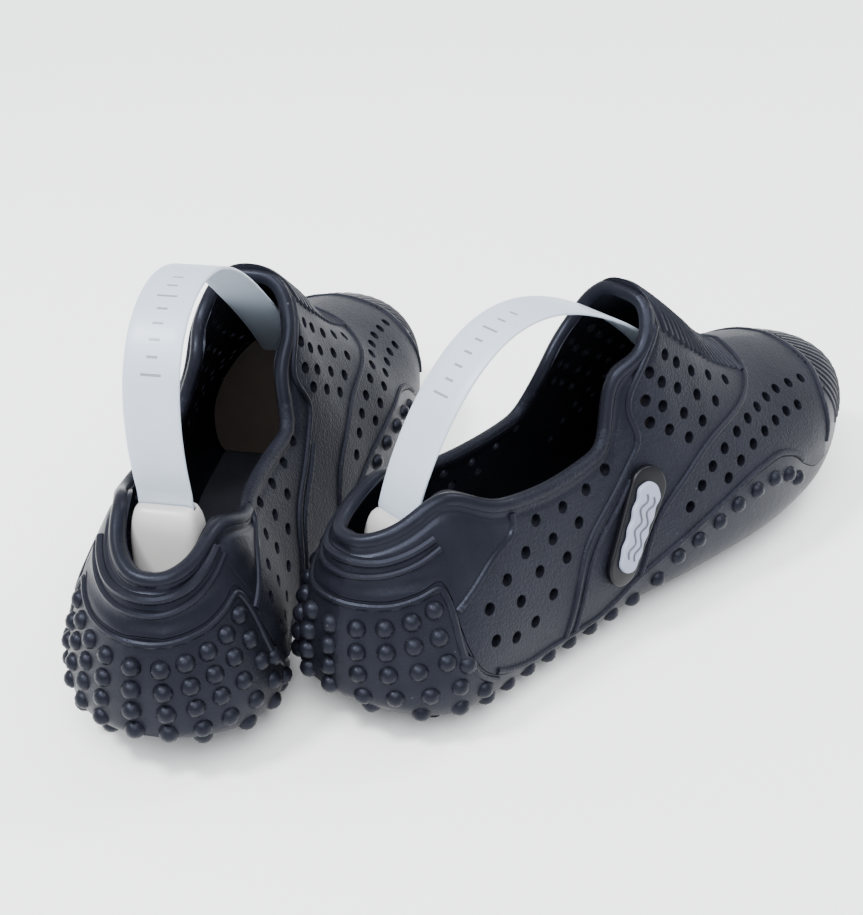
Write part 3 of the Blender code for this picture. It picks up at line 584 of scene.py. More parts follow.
def shell(outer, inner, foot_open, top_open_to):
    """Closed shell between an outer and an inner pair of wall grids, with rims where an edge is open."""
    columns, rows = outer[0].shape[:2]
    size = columns * rows
    verts = np.concatenate([g.reshape(-1, 3) for g in (*outer, *inner)])

    def index(grid, i, j):
        return grid * size + i * rows + j

    faces = []
    for grid in range(4):
        faces += grid_faces(columns, rows, grid * size)
    for i in (0, columns - 1):
        for j in range(rows - 1):
            for a, b in ((0, 1), (2, 3)):
                faces.append([index(a, i, j), index(a, i, j + 1), index(b, i, j + 1), index(b, i, j)])
    for j, last in ((0, columns - 1 if foot_open else 0), (rows - 1, top_open_to)):
        for a, b in ((0, 2), (1, 3)):
            for i in range(last):
                faces.append([index(a, i, j), index(a, i + 1, j), index(b, i + 1, j), index(b, i, j)])
        for i in (0, columns - 1):
            if last > 0 and i <= last:
                faces.append([index(0, i, j), index(1, i, j), index(3, i, j), index(2, i, j)])
    return verts, faces


def wall_solid(name, xs, shares, low, high, **insets):
    """Solid that fills the space between the two walls from height low to height high."""
    outer, inner = both_walls(xs, shares, low, high, **insets)
    return ring_loft(name, [np.concatenate([a, b[::-1]]) for a, b in zip(outer, inner)])


def line_mesh(name, paths):
    """A mesh of edges only, one chain for each path."""
    verts, edges = [], []
    for path in paths:
        edges += [(len(verts) + k, len(verts) + k + 1) for k in range(len(path) - 1)]
        verts += [tuple(p) for p in path]
    return mesh_from(name, verts, [], edges)


def point_mesh(name, spots):
    """A mesh of loose points, each with the direction that its stud or hole points."""
    mesh = mesh_from(name, [point for point, _ in spots], [])
    out = mesh.attributes.new("out", "FLOAT_VECTOR", "POINT")
    out.data.foreach_set("vector", np.array([normal for _, normal in spots], np.float32).ravel())
    return mesh


def wall_path(line, side, outward, spacing=1.2):
    """A path on the side wall through a line's stations and heights."""
    flat = spline(line, spacing)
    return wall_frame(flat[:, 0], flat[:, 1], side, outward)[0]


def round_heel(line, outward):
    """A path from one side wall round the heel to the other."""
    xs = line[-1][0] * np.linspace(0, 1, 60) ** 2.5
    halves = [wall_frame(xs[1:], smooth(line, xs[1:]), side, outward)[0] for side in (-1, 1)]
    return softened(even(np.vstack([halves[0][::-1], halves[1]]), 1.5), 3)


def over_roof(line, outward, peak):
    """A path from one side wall over the roof at station peak to the other."""
    halves = []
    for side in (-1, 1):
        x, z = line[-1]
        top = limits(peak)[2]
        rise = [(x + (peak - x) * s, z + (top - z) * (1 - (1 - s) ** 2)) for s in (0.35, 0.65, 0.85, 0.96)]
        halves.append(wall_path(list(line) + rise, side, outward))
    return even(np.vstack([halves[0], halves[1][::-1]]), 1.5)


def softened(path, rounds, closed=False):
    """The path with its kinks worn down by repeated averaging."""
    for _ in range(rounds):
        before, after = np.roll(path, 1, 0), np.roll(path, -1, 0)
        relaxed = (before + 2 * path + after) / 4
        if not closed:
            relaxed[0], relaxed[-1] = path[0], path[-1]
        path = relaxed
    return path


# ---------------------------------------------------------------- geometry node trees
def geometry_tree(name, inputs):
    """A tree with named inputs; returns it with its graph and the inputs' wires."""
    tree = bpy.data.node_groups.new(name, "GeometryNodeTree")
    for label, kind in [("Geometry", "NodeSocketGeometry")] + inputs:
        tree.interface.new_socket(label, in_out="INPUT", socket_type=kind)
    tree.interface.new_socket("Geometry", in_out="OUTPUT", socket_type="NodeSocketGeometry")
    graph = Graph(tree)
    entry = tree.nodes.new("NodeGroupInput")
    return tree, graph, {socket.name: Wire(graph, socket) for socket in entry.outputs if socket.name}


def close_tree(graph, result, finish_wire):
    """Ends a tree in Realize Instances and Set Material."""
    real = graph.node("GeometryNodeRealizeInstances", None, {0: result})
    painted = graph.node("GeometryNodeSetMaterial", None, {"Geometry": real, "Material": finish_wire})
    leave = graph.tree.nodes.new("NodeGroupOutput")
    graph.tree.links.new(painted.socket, leave.inputs[0])


def bead_tree():
    """Sweeps a round bead along each chain of edges."""
    tree, graph, given = geometry_tree("bead", [("Radius", "NodeSocketFloat"), ("Sides", "NodeSocketInt"),
                                                ("Material", "NodeSocketMaterial")])
    chain = graph.node("GeometryNodeMeshToCurve", None, {0: given["Geometry"]})
    ring = graph.node("GeometryNodeCurvePrimitiveCircle", None, {"Resolution": given["Sides"],
                                                                 "Radius": given["Radius"]})
    swept = graph.node("GeometryNodeCurveToMesh", None, {"Curve": chain, "Profile Curve": ring,
                                                         "Fill Caps": True})
    close_tree(graph, swept, given["Material"])
    return tree


def spot_tree(shape):
    """Sets a dome or a hole cutter on every point, along the point's own direction."""
    tree, graph, given = geometry_tree(shape, [("Radius", "NodeSocketFloat"), ("Depth", "NodeSocketFloat"),
                                               ("Sides", "NodeSocketInt"),
                                               ("Material", "NodeSocketMaterial")])
    if shape == "dome":
        piece = graph.node("GeometryNodeMeshUVSphere", None, {"Segments": given["Sides"], "Rings": 6,
                                                              "Radius": given["Radius"]})
    else:
        piece = graph.node("GeometryNodeMeshCylinder", None, {"Vertices": given["Sides"],
                                                              "Radius": given["Radius"],
                                                              "Depth": given["Depth"]})
    out = graph.node("GeometryNodeInputNamedAttribute", {"data_type": "FLOAT_VECTOR"}, {"Name": "out"})
    turn = graph.node("FunctionNodeAlignRotationToVector", {"axis": "Z"}, {"Vector": out})
    spots = graph.node("GeometryNodeInstanceOnPoints", None, {"Points": given["Geometry"], "Instance": piece,
                                                              "Rotation": turn})
    close_tree(graph, spots, given["Material"])
    return tree


def mould_tree(cuts):
    """Joins the raised detail to a shell and cuts its holes."""
    labels = ["Raised"] + (["Holes"] if cuts else [])
    tree, graph, given = geometry_tree("mould", [(label, "NodeSocketObject") for label in labels]
                                       + [("Material", "NodeSocketMaterial")])
    raised = graph.node("GeometryNodeObjectInfo", None, {0: given["Raised"]}, out="Geometry")
    body = graph.node("GeometryNodeMeshBoolean", {"operation": "UNION", "solver": "MANIFOLD"},
                      {1: given["Geometry"]})
    graph.tree.links.new(raised.socket, body.socket.node.inputs[1])
    if cuts:
        holes = graph.node("GeometryNodeObjectInfo", None, {0: given["Holes"]}, out="Geometry")
        body = graph.node("GeometryNodeMeshBoolean", {"operation": "DIFFERENCE", "solver": "MANIFOLD"},
                          {0: body, 1: holes})
    close_tree(graph, body, given["Material"])
    return tree


def run_tree(mesh, tree, values):
    """The mesh that a tree makes of a mesh, with the tree's inputs set by their identifiers."""
    obj = new_object("work", mesh)
    modifier = obj.modifiers.new("nodes", "NODES")
    modifier.node_group = tree
    for item in tree.interface.items_tree:
        if item.in_out == "INPUT" and item.name in values:
            modifier[item.identifier] = values[item.name]
    bpy.context.view_layer.update()
    made = bpy.data.meshes.new_from_object(obj.evaluated_get(bpy.context.evaluated_depsgraph_get()))
    obj.modifiers.remove(modifier)
    bpy.data.objects.remove(obj)
    return made


def beads(paths, radius, look, sides=10):
    """Round beads along the paths, as one mesh."""
    return run_tree(line_mesh("lines", paths), bead_tree(), {"Radius": radius, "Sides": sides,
                                                             "Material": finish(look)})


def domes(spots, radius, look, sides=14):
    return run_tree(point_mesh("spots", spots), spot_tree("dome"), {"Radius": radius, "Sides": sides,
                                                                    "Material": finish(look)})


def cutters(spots, radius, depth, sides=18):
    return run_tree(point_mesh("spots", spots), spot_tree("cutter"), {"Radius": radius, "Depth": depth,
                                                                      "Sides": sides})


def joined(meshes):
    """Several meshes as one, still separate bodies."""
    work = bmesh.new()
    for mesh in meshes:
        work.from_mesh(mesh)
    both = bpy.data.meshes.new("joined")
    work.to_mesh(both)
    work.free()
    return both


def moulded(body, raised, holes, look):
    """The shell with its raised detail joined and its holes cut."""
    helpers = {"Raised": new_object("raised", joined(raised))}
    if holes:
        helpers["Holes"] = new_object("holes", holes)
    made = run_tree(body, mould_tree(bool(holes)), {**helpers, "Material": finish(look)})
    for helper in helpers.values():
        bpy.data.objects.remove(helper)
    return made


# ---------------------------------------------------------------- placing the pieces
def clog_matrix(side):
    """From a clog's own frame, in metres, to the frame of the pair; the left clog is mirrored."""
    turn = math.radians(-90)
    heel = Vector((0, 0, 0)) if side == "right" else Vector((*LEFT_HEEL, 0))
    spot = Matrix.Rotation(turn, 4, "Z") @ ((heel - Vector((*PAIR_CENTRE, 0))) * MM)
    swing = math.radians(LEFT_TURN) if side == "left" else 0
    mirror = Matrix.Diagonal((1, -1 if side == "left" else 1, 1, 1))
    return Matrix.Translation(spot) @ Matrix.Rotation(turn + swing, 4, "Z") @ mirror


def piece(side, name, mesh, looks, body, node, slot, angle=40):
    """A finished piece of one clog that rides on a body and stands for a CAD node."""
    copy = mesh.copy()
    copy.transform(clog_matrix(side))
    if side == "left":
        copy.flip_normals()
    copy.materials.clear()
    for look in looks:
        copy.materials.append(finish(look))
    copy.shade_smooth()
    copy.set_sharp_from_angle(angle=math.radians(angle))
    obj = new_object(side + "_" + name, copy)
    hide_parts(side + "_" + node)
    if body:
        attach(obj, body)
    return obj


def inside(points, outline):
    """Which of the (station, height) points lie within an outline."""
    hit = np.zeros(len(points), bool)
    for (x0, z0), (x1, z1) in zip(outline, outline[1:] + outline[:1]):
        crosses = (z0 > points[:, 1]) != (z1 > points[:, 1])
        with np.errstate(divide="ignore", invalid="ignore"):
            at = (x1 - x0) * (points[:, 1] - z0) / (z1 - z0) + x0
        hit ^= crosses & (points[:, 0] < at)
    return hit


def mark_grain(mesh):
    """Stores on each point whether it lies on a finely grained panel."""
    co = np.zeros(len(mesh.vertices) * 3)
    mesh.vertices.foreach_get("co", co)
    co = co.reshape(-1, 3) / MM
    station = co[:, 0].copy()
    for _ in range(4):
        station = co[:, 0] - heel_shift(station, co[:, 2], smooth(WIDEST_LINE, station))
    flat = np.stack([station, co[:, 2]], -1)
    grainy = inside(flat, GRAIN_REAR) | inside(flat, GRAIN_FRONT)
    panel = (co[:, 0] > 146) & (co[:, 2] > smooth(RIB_EDGE, co[:, 0])) & (co[:, 0] < 204)
    layer = mesh.attributes.new("grain", "FLOAT", "POINT")
    layer.data.foreach_set("value", np.where(panel, 0.25, grainy * 1.0).astype(np.float32))


# ---------------------------------------------------------------- the clog's own detail
def rim_path():
    """Closed loop along the middle of the collar edge."""
    xs = stations()
    xs = xs[xs <= TONGUE_STATION]
    halves = []
    for side in (-1, 1):
        top = limits(xs, roof=ROOF / 2)[2]
        halves.append(wall(xs, np.minimum(collar(xs, side), top) - RIM_DROP, side,
                           inset=WALL / 2 - RIM_SET, roof=ROOF / 2))
    loop = even(np.vstack([halves[0][::-1], halves[1], halves[0][-1:]]), 2.0)[:-1]
    return softened(loop, 5, closed=True)


def relieved(grid, side, xs, rim):
    """The outer wall with a groove under the rim and shallow hollows between the heel lines."""
    tree = kdtree.KDTree(len(rim))
    for k, point in enumerate(rim):
        tree.insert(point, k)
    tree.balance()
    flat = grid.reshape(-1, 3)
    near = np.array([tree.find(p)[2] for p in flat]).reshape(grid.shape[:2])
    xs = np.broadcast_to(xs[:, None], grid.shape[:2])
    z = grid[..., 2]
    groove = np.clip(1 - ((near - 4.3) / 1.5) ** 2, 0, 1) ** 2 * 0.6
    back = np.clip(1 - xs / 42, 0, 1) ** 0.5
    hollow = np.clip(1 - ((z - 59.5 - xs * 0.1) / 4.0) ** 2, 0, 1) ** 2 * 0.7 * back
    open_part = xs < TONGUE_STATION
    normal = wall_frame(xs, z, side)[1]
    return grid - normal * ((groove + hollow) * open_part)[..., None]


def rib_paths(pitch):
    """Ribs across the tongue panel, bowed forwards at their ends."""
    paths = []
    for x in np.arange(*TONGUE_RIBS, pitch):
        halves = []
        for side in (-1, 1):
            share = np.linspace(0, 1, 26)
            xs = x + 1.5 * (1 - share) ** 2
            low, high = smooth(RIB_EDGE, xs), limits(xs)[2]
            zs = low + (high - low) * (1 - (1 - share) ** 2.4)
            halves.append(wall_frame(xs, np.minimum(zs, high - 0.05), side, -RIB_SUNK)[0])
        paths.append(even(softened(np.vstack([halves[0], halves[1][::-1]]), 3), 1.6))
    return paths


def toe_rib_paths(mesh, count):
    """Ribs that fan out over the toe cap and down to the sole."""
    surface = bvhtree.BVHTree.FromPolygons([v.co for v in mesh.vertices], [p.vertices for p in mesh.polygons])
    heart = Vector((222, 3, 30)) * MM
    paths = []
    for turn in np.radians(np.linspace(-66, 66, count)):
        path = []
        for lift in np.radians(np.linspace(47, 7, 22)):
            ray = Vector((math.cos(turn) * math.cos(lift), math.sin(turn) * math.cos(lift), math.sin(lift)))
            spot, normal, _, _ = surface.ray_cast(heart + ray * 0.12, -ray)
            if spot and spot.x > 0.245:
                path.append((spot - normal * 0.0008) / MM)
        if len(path) > 5:
            paths.append(even(np.array(path), 1.5))
    return paths


def upper_mesh(sizes):
    """Upper with its rolled rim, raised lines, ribs and perforations."""
    xs = stations()
    shares = 1 - (1 - np.linspace(0, 1, UPPER_COUNT)) ** 1.6
    rim = rim_path()

    def foot(x, side):
        return sole_line(x, GAP / 2)

    def under_rim(x, side):
        return np.where(x < TONGUE_STATION, collar(x, side) - RIM_CUT, collar(x, side))

    outer = both_walls(xs, shares, foot, under_rim)
    outer = [relieved(grid, side, xs, rim) for grid, side in zip(outer, (-1, 1))]
    inner = both_walls(xs, shares, foot,
                       lambda x, side: np.minimum(under_rim(x, side), limits(x, roof=ROOF)[2]),
                       inset=WALL, roof=ROOF, lift=SOLE)
    tip = int(np.searchsorted(xs, TONGUE_STATION - 0.01))
    body = mesh_from("upper", *shell(outer, inner, True, tip))
    lines = [round_heel(SECOND_HEEL_LINE, -LINE_SUNK)]
    for side in (-1, 1):
        for line in (STEP_LINE, QUARTER_LINE, SECOND_QUARTER_LINE):
            lines.append(wall_path(line, side, -LINE_SUNK))
        edge_x = np.linspace(46, 214, 120)
        lines.append(even(wall_frame(edge_x, sole_line(edge_x, 1.5), side, -LINE_SUNK)[0], 1.5))
    lines += [over_roof(VAMP_LINE, -LINE_SUNK, 209), over_roof(TOE_CAP_LINE, -LINE_SUNK, 248)]
    raised = [beads(lines, sizes.line_radius, "foam"),
              beads([round_heel(HEEL_LINE, -HEEL_LINE_SUNK)], sizes.line_radius * 1.3, "foam"),
              beads([np.vstack([rim, rim[:1]])], sizes.rim_radius, "foam", 14),
              beads(rib_paths(sizes.rib_pitch / MM), sizes.rib_radius, "foam"),
              beads(toe_rib_paths(body, sizes.toe_ribs), sizes.rib_radius * 0.8, "foam")]
    places = REAR_HOLES + INSTEP_HOLES + FOREFOOT_HOLES
    spots = [wall_frame(x, z, side) for side in (-1, 1) for x, z in places]
    holes = cutters(spots, sizes.hole_radius, WALL * CUTTER_WALLS * MM)
    made = moulded(body, raised, holes, "foam")
    mark_grain(made)
    return made


def sole_mesh(sizes):
    """Cup of the sole with its bead, domed studs and tread."""
    xs = stations()
    shares = np.linspace(0, 1, SOLE_COUNT) ** 2.0

    def top(x, side):
        return sole_line(x, -GAP / 2)

    outer = both_walls(xs, shares, lambda x, side: limits(x)[0], top)
    inner = both_walls(xs, shares, lambda x, side: limits(x, lift=SOLE)[0], top,
                       inset=WALL, roof=ROOF, lift=SOLE)
    body = mesh_from("outsole", *shell(outer, inner, False, len(xs) - 1))
    cup_x = 46 * np.linspace(0, 1, 140)[1:] ** 2
    cup = [wall_frame(cup_x, sole_line(cup_x, -1.8), side, -LINE_SUNK)[0] for side in (-1, 1)]
    cup_line = softened(even(np.vstack([cup[0][::-1], cup[1]]), 1.2), 3)
    places = CUP_STUDS + WING_STUDS + EDGE_STUDS
    spots = [wall_frame(x, z, side, -STUD_SUNK) for side in (-1, 1) for x, z in places]
    raised = [beads([cup_line], sizes.line_radius, "rubber"), domes(spots, sizes.stud_radius, "rubber"),
              tread()]
    return moulded(body, raised, None, "rubber")


def tread():
    """Tapered round studs under the sole; their feet stand on the ground."""
    solids = []
    for x in np.arange(30, 240, TREAD_STEP):
        keel, widest, _ = limits(x)
        right, left = (wall(x, widest, side) for side in (-1, 1))
        for share in TREAD_SHARES:
            skin = widest - (1 - abs(share) ** SQUARENESS) ** (1 / SQUARENESS) * (widest - keel)
            spot = right + (left - right) * (share + 1) / 2
            foot = max(0.02, skin - STUD_HEIGHT)
            rings = []
            for height, radius in ((foot, 2.2), (foot + 0.3, 2.6), (skin + STUD_ROOT, 3.2)):
                turn = np.linspace(0, 2 * np.pi, 12, endpoint=False)
                rings.append(np.stack([spot[0] + radius * np.cos(turn), spot[1] + radius * np.sin(turn),
                                       np.full(12, height)], -1))
            solids.append(ring_loft("stud", rings))
    return joined(solids)


def footbed_top(x):
    return limits(x, lift=SOLE + FOOTBED_SEAT)[0] + FOOTBED_THICK


def footbed_mesh():
    """Insole that lies on the sole, with a rounded upper edge."""
    lift = SOLE + FOOTBED_SEAT
    shares = np.linspace(0, 1, 14) ** 2.2
    return wall_solid("footbed", stations(count=90)[2:-4], shares, lambda x, side: limits(x, lift=lift)[0],
                      lambda x, side: footbed_top(x), inset=WALL + FOOTBED_CLEARANCE, roof=ROOF, lift=lift)


def badge_spot(a, b):
    """Station and height of a place on the badge, a along it and b across."""
    lean = math.radians(BADGE_LEAN)
    return (BADGE_CENTRE[0] + a * math.cos(lean) + b * math.sin(lean),
            BADGE_CENTRE[1] + a * math.sin(lean) - b * math.cos(lean))


def plate_mesh(name, length, width, low, high, wave=0.0):
    """Round-ended plate with a domed edge that follows the outer side wall."""
    half, radius = length / 2 - width / 2, width / 2
    turn = np.radians(np.linspace(-90, 90, 15))
    outline = [(end * (half + radius * np.cos(t)), end * radius * np.sin(t)) for end in (1, -1) for t in turn]
    outline = even(np.array(outline + outline[:1]), 1.0)[:-1]
    wobble = 1 + wave * np.cos(np.arange(len(outline)) * 2 * np.pi * 11 / len(outline))
    outline = outline * np.stack([np.ones_like(wobble), wobble], -1)
    rings = []
    round_off = min(0.9, (high - low) * 0.6)
    levels = [(low, 0.0)] + [(high - round_off + round_off * math.sin(t), round_off * (1 - math.cos(t)))
                             for t in np.radians([0, 25, 50, 75, 90])] + [(high + 0.12, radius * 0.6)]
    for height, shrink in levels:
        share = 1 - shrink / radius
        ring = [wall_frame(*badge_spot(a - np.sign(a) * min(abs(a), shrink), b * share), -1, height)[0]
                for a, b in outline]
        rings.append(np.array(ring))
    return ring_loft(name, rings)


def label_waves(level):
    """Two wave lines along the label."""
    waves = []
    for shift in (-1.6, 1.6):
        a = np.linspace(-12, 12, 60)
        b = shift + 1.0 * np.sin(a * 2 * np.pi / 8)
        waves.append(wall_frame(*badge_spot(a, b), -1, level)[0])
    return waves


def strap_line(side):
    """The strap's middle line with its straight ends inside the block and the toe form."""
    curve = spline(STRAP_LINE[side], 2.0)
    way = curve[-1] - curve[-2]
    start, end = curve[0] - (0, STRAP_GRIP), curve[-1] + way / np.linalg.norm(way) * STRAP_GRIP
    return np.vstack([start, start + (0, STRAP_GRIP / 2), curve, end])


def strap_mesh(side):
    """Thin strip with rounded edges; outer and inner face have their own finish."""
    line = strap_line(side)
    tangent = np.gradient(line, axis=0)
    tangent /= np.linalg.norm(tangent, axis=1, keepdims=True)
    across = np.stack([-tangent[:, 1], tangent[:, 0]], -1)
    edge = np.radians([-90, -45, 0, 45, 90])
    half, thick = STRAP_WIDTH / 2, STRAP_THICK / 2
    section = [(half - thick + thick * np.cos(t), thick * np.sin(t)) for t in edge]
    section += [(y, thick) for y in (5.4, 1.8, -1.8, -5.4)]
    section += [(-half + thick - thick * np.cos(t), thick * np.sin(t)) for t in edge[::-1]]
    section += [(y, -thick) for y in (-5.4, -1.8, 1.8, 5.4)]
    rings = [np.array([(p[0] + o[0] * off, TREE_SIDE + y, p[1] + o[1] * off) for y, off in section])
             for p, o in zip(line, across)]
    mesh = ring_loft("strap", rings)
    chord = np.concatenate([[0], np.cumsum(np.linalg.norm(np.diff(line, axis=0), axis=1))])
    tree = kdtree.KDTree(len(line))
    for k, (x, z) in enumerate(line):
        tree.insert((x, 0, z), k)
    tree.balance()
    layer = mesh.uv_layers.new(name="strip")
    for poly in mesh.polygons:
        x, _, z = poly.center / MM
        near = tree.find((x, 0, z))[1]
        off = np.dot((x - line[near][0], z - line[near][1]), across[near])
        poly.material_index = 0 if off > 0 else 1
        for loop in poly.loop_indices:
            co = mesh.vertices[mesh.loops[loop].vertex_index].co / MM
            k = tree.find((co.x, 0, co.z))[1]
            layer.data[loop].uv = (chord[k] * MM, (co.y - TREE_SIDE) * MM)
    return mesh


def block_mesh(side):
    """Tapered heel block with rounded edges and a narrow mouth for the strap."""
    top_x, top_z = BLOCK_TOP[side]
    head, foot = BLOCK_TOP_WIDTH / 2, BLOCK_FOOT_WIDTH / 2
    height = min(BLOCK_HEIGHT, STRAP_LINE[side][0][1] - footbed_top(top_x - BLOCK_DEPTH) - BLOCK_CLEARANCE)
    height -= STRAP_LINE[side][0][1] - top_z
    # share of the height below the top, back and front face as shares of the depth, half width
    levels = [(0.0, -0.13, 0.09, head - 2.2), (0.006, -0.19, 0.155, head - 0.8),
              (0.02, -0.23, 0.20, head + 0.1), (0.05, -0.29, 0.25, head + 0.7),
              (0.12, -0.36, 0.32, head + 1.5), (0.28, -0.44, 0.325, head + 2.2),
              (0.45, -0.52, 0.32, foot * 0.93), (0.85, -0.64, 0.16, foot), (0.95, -0.62, 0.12, foot * 0.98),
              (0.985, -0.58, 0.07, foot * 0.93), (1.0, -0.52, 0.0, foot * 0.85)]
    profile = spline([(s * height, b, f, h) for s, b, f, h in levels], 1.6)
    turn = np.linspace(0, 2 * np.pi, 48, endpoint=False)
    rings = []
    for depth, back, front, half in profile:
        x0, x1 = top_x + back * BLOCK_DEPTH, top_x + front * BLOCK_DEPTH
        c, s = np.cos(turn), np.sin(turn)
        power = 2 / 4.2
        x = (x0 + x1) / 2 + (x1 - x0) / 2 * np.sign(c) * abs(c) ** power
        y = TREE_SIDE + half * np.sign(s) * abs(s) ** power
        rings.append(np.stack([x, y, np.full(48, top_z - depth)], -1))
    body = ring_loft("block", rings)
    half, thick = STRAP_WIDTH / 2 + 0.6, STRAP_THICK / 2 + 0.5
    mouth = ring_loft("mouth", [np.array([(top_x + a * thick, TREE_SIDE + b * half, z)
                                          for a, b in ((-1, -1), (1, -1), (1, 1), (-1, 1))])
                                for z in (STRAP_LINE[side][0][1] - STRAP_GRIP - GAP, top_z + 4)])
    cutter = new_object("mouth", mouth)
    obj = new_object("block", body)
    cut = obj.modifiers.new("mouth", "BOOLEAN")
    cut.operation, cut.object = "DIFFERENCE", cutter
    bpy.context.view_layer.update()
    made = bpy.data.meshes.new_from_object(obj.evaluated_get(bpy.context.evaluated_depsgraph_get()))
    for helper in (obj, cutter):
        bpy.data.objects.remove(helper)
    return made


def toe_form_mesh():
    """Rounded former that fills the toe."""
    shares = (1 - np.cos(np.pi * np.linspace(0, 1, 24))) / 2
    return wall_solid("toe_form", np.linspace(TOE_FORM_START, TOE_FORM_END, 50), shares,
                      lambda x, side: footbed_top(x) + FORM_SEAT,
                      lambda x, side: limits(x, roof=ROOF + TOE_FORM_CLEARANCE)[2],
                      inset=WALL + TOE_FORM_CLEARANCE, roof=ROOF + TOE_FORM_CLEARANCE, lift=SOLE)


# ---------------------------------------------------------------- operators
class CLOGS_OT_uppers(bpy.types.Operator):
    """Build the perforated uppers"""

    bl_idname = "clogs.uppers"
    bl_label = "Uppers"

    def execute(self, context):
        mesh = upper_mesh(context.scene.clog_sizes)
        for side in SIDES:
            piece(side, "upper_foam", mesh, ["foam"], "pair", "upper", "eva_upper", 32)
        return {"FINISHED"}


class CLOGS_OT_soles(bpy.types.Operator):
    """Build the studded soles"""

    bl_idname = "clogs.soles"
    bl_label = "Soles"

    def execute(self, context):
        mesh = sole_mesh(context.scene.clog_sizes)
        for side in SIDES:
            piece(side, "sole", mesh, ["rubber"], "pair", "outsole", "rubber_sole", 32)
        return {"FINISHED"}


class CLOGS_OT_footbeds(bpy.types.Operator):
    """Build the insoles"""

    bl_idname = "clogs.footbeds"
    bl_label = "Footbeds"

    def execute(self, context):
        mesh = footbed_mesh()
        for side in SIDES:
            piece(side, "insole", mesh, ["footbed"], "pair", "footbed", "footbed_foam")
        return {"FINISHED"}


class CLOGS_OT_badges(bpy.types.Operator):
    """Build the side badges with their plain wave labels"""

    bl_idname = "clogs.badges"
    bl_label = "Badges"

    def execute(self, context):
        plate = plate_mesh("plate", BASE_LENGTH, BASE_WIDTH, BASE_SEAT, BASE_SEAT + BASE_THICK)
        foot = BASE_SEAT + BASE_THICK + LABEL_SEAT
        label = plate_mesh("label", LABEL_LENGTH, LABEL_WIDTH, foot - 0.5, foot + LABEL_THICK, 0.07)
        waves = beads(label_waves(foot + LABEL_THICK + 0.05), 0.00045, "ink", 8)
        for side in SIDES:
            piece(side, "badge_plate", plate, ["badge"], "pair", "badge_base", "badge_gloss")
            piece(side, "badge_inlay", label, ["label"], "pair", "badge_label", "label_grey")
            mark = new_object(side + "_badge_waves", waves.copy())
            mark.data.transform(clog_matrix(side))
            if side == "left":
                mark.data.flip_normals()
            mark.data.materials.clear()
            mark.data.materials.append(finish("ink"))
            mark.data.shade_smooth()
            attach(mark, "pair")
        return {"FINISHED"}


class CLOGS_OT_trees(bpy.types.Operator):
    """Build the shoe trees: heel blocks, straps and toe forms"""

    bl_idname = "clogs.trees"
    bl_label = "Shoe trees"

    def execute(self, context):
        form = toe_form_mesh()
        for side in SIDES:
            stretcher = side + "_heel_stretcher"
            piece(side, "tree_block", block_mesh(side), ["block"], stretcher, "tree_heel_block",
                  "tree_plastic", 50)
            piece(side, "tree_form", form, ["form"], "pair", "tree_toe_form", "tree_plastic")
            strip = piece(side, "tree_strip", strap_mesh(side), ["strap", "strap_back"], None, "tree_strap",
                          "strap_white", 60)
            place = clog_matrix(side)
            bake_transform(strip)
        return {"FINISHED"}


class CLOGS_OT_pins(bpy.types.Operator):
    """Give the carried-over pins their metal finish"""

    bl_idname = "clogs.pins"
    bl_label = "Pins"

    def execute(self, context):
        for side in SIDES:
            for end in ("heel", "toe"):
                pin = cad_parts[side + "_tree_" + end + "_pin"]
                pin.data.materials.clear()
                pin.data.materials.append(finish("pin"))
        return {"FINISHED"}


CAMERA_SPOT = (-0.3893, 0.3316, 0.3403)
CAMERA_TARGET = (-0.0182, 0.0034, 0.041)
CAMERA_ROLL = -1.41
CAMERA_LENS = 57.22
LIGHTS = [("window", (-0.2, -0.9, 1.3), 0.5, 10), ("key", (0.2, 0.75, 1.25), 0.28, 24)]
SKY, SKY_TILT, SKY_SPREAD = 4.8, (-18, -22, 0), 50
FLOOR_REACH = 6000.0


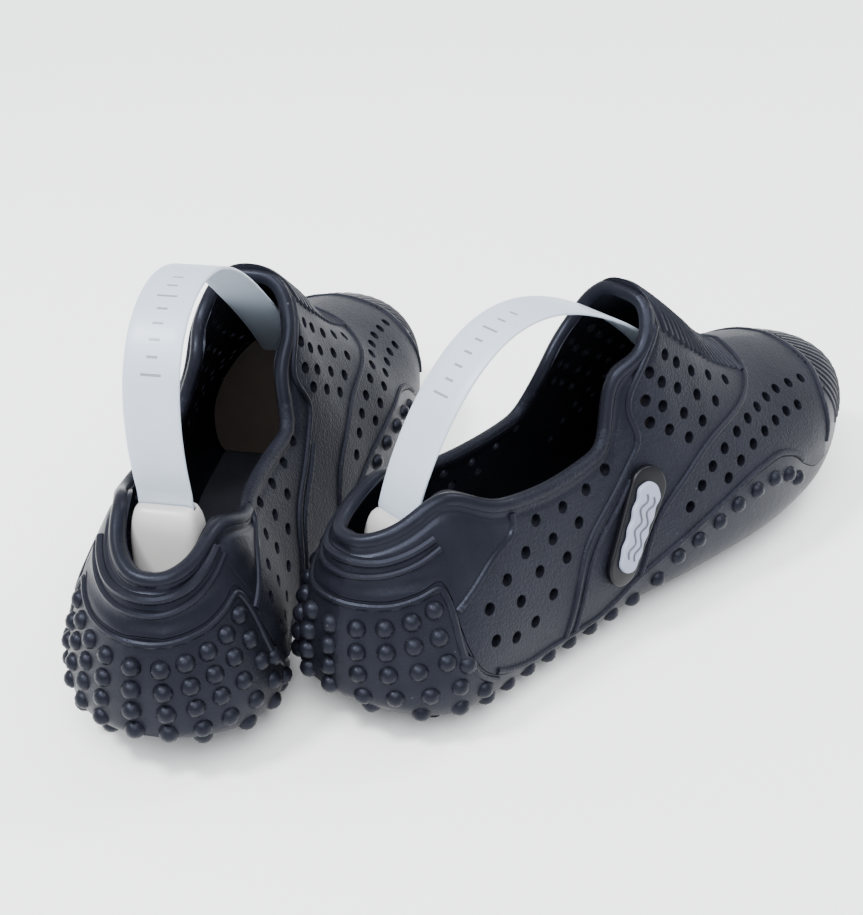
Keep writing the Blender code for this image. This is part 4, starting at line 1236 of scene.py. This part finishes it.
class CLOGS_OT_stage(bpy.types.Operator):
    """Set up the floor, the lights and the camera"""

    bl_idname = "clogs.stage"
    bl_label = "Stage"

    def execute(self, context):
        scene = context.scene
        corners = [(-FLOOR_REACH, -FLOOR_REACH, 0), (FLOOR_REACH, -FLOOR_REACH, 0),
                   (FLOOR_REACH, FLOOR_REACH, 0), (-FLOOR_REACH, FLOOR_REACH, 0)]
        floor = new_object("floor", mesh_from("floor", corners, [[0, 1, 2, 3]]))
        floor.data.materials.append(finish("stage"))
        world = bpy.data.worlds.new("studio")
        world.use_nodes = True
        world.node_tree.nodes["Background"].inputs["Color"].default_value = (0.92, 0.96, 1.0, 1)
        world.node_tree.nodes["Background"].inputs["Strength"].default_value = 1.35
        scene.world = world
        lamp = bpy.data.lights.new("overhead", "SUN")
        lamp.energy, lamp.angle = SKY, math.radians(SKY_SPREAD)
        obj = bpy.data.objects.new("overhead", lamp)
        obj.rotation_euler = [math.radians(turn) for turn in SKY_TILT]
        scene.collection.objects.link(obj)
        for name, spot, size, power in LIGHTS:
            lamp = bpy.data.lights.new(name, "AREA")
            lamp.shape, lamp.size, lamp.energy = "DISK", size, power
            obj = bpy.data.objects.new(name, lamp)
            obj.location = spot
            obj.rotation_euler = (Vector((0, 0, 0.04)) - Vector(spot)).to_track_quat("-Z", "Y").to_euler()
            scene.collection.objects.link(obj)
        eye = bpy.data.cameras.new("camera")
        eye.lens, eye.sensor_width, eye.clip_start = CAMERA_LENS, 36, 0.01
        camera = bpy.data.objects.new("camera", eye)
        camera.location = CAMERA_SPOT
        look = (Vector(CAMERA_TARGET) - Vector(CAMERA_SPOT)).to_track_quat("-Z", "Y").to_matrix()
        camera.rotation_euler = (look @ Matrix.Rotation(math.radians(CAMERA_ROLL), 3, "Z")).to_euler()
        scene.collection.objects.link(camera)
        scene.camera = camera
        return {"FINISHED"}


class CLOGS_PT_sidebar(bpy.types.Panel):
    """Lists the building steps and their sizes and colours"""

    bl_idname = "CLOGS_PT_sidebar"
    bl_label = "Garden Clogs"
    bl_space_type = "VIEW_3D"
    bl_region_type = "UI"
    bl_category = "Clogs"

    def draw(self, context):
        for settings in (context.scene.clog_sizes, context.scene.clog_finish):
            for name in settings.__annotations__:
                self.layout.prop(settings, name)
        for operator in OPERATORS:
            self.layout.operator(operator.bl_idname)


OPERATORS = (CLOGS_OT_uppers, CLOGS_OT_soles, CLOGS_OT_footbeds, CLOGS_OT_badges, CLOGS_OT_trees,
             CLOGS_OT_pins, CLOGS_OT_stage)
CLASSES = (ClogSizes, ClogFinish, *OPERATORS, CLOGS_PT_sidebar)


def register():
    for cls in CLASSES:
        bpy.utils.register_class(cls)
    bpy.types.Scene.clog_sizes = PointerProperty(type=ClogSizes)
    bpy.types.Scene.clog_finish = PointerProperty(type=ClogFinish)


def unregister():
    del bpy.types.Scene.clog_sizes, bpy.types.Scene.clog_finish
    for cls in reversed(CLASSES):
        bpy.utils.unregister_class(cls)


def main():
    """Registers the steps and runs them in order."""
    register()
    bpy.ops.clogs.uppers()
    bpy.ops.clogs.soles()
    bpy.ops.clogs.footbeds()
    bpy.ops.clogs.badges()
    bpy.ops.clogs.trees()
    bpy.ops.clogs.pins()
    bpy.ops.clogs.stage()


if __name__ == "__main__":
    main()
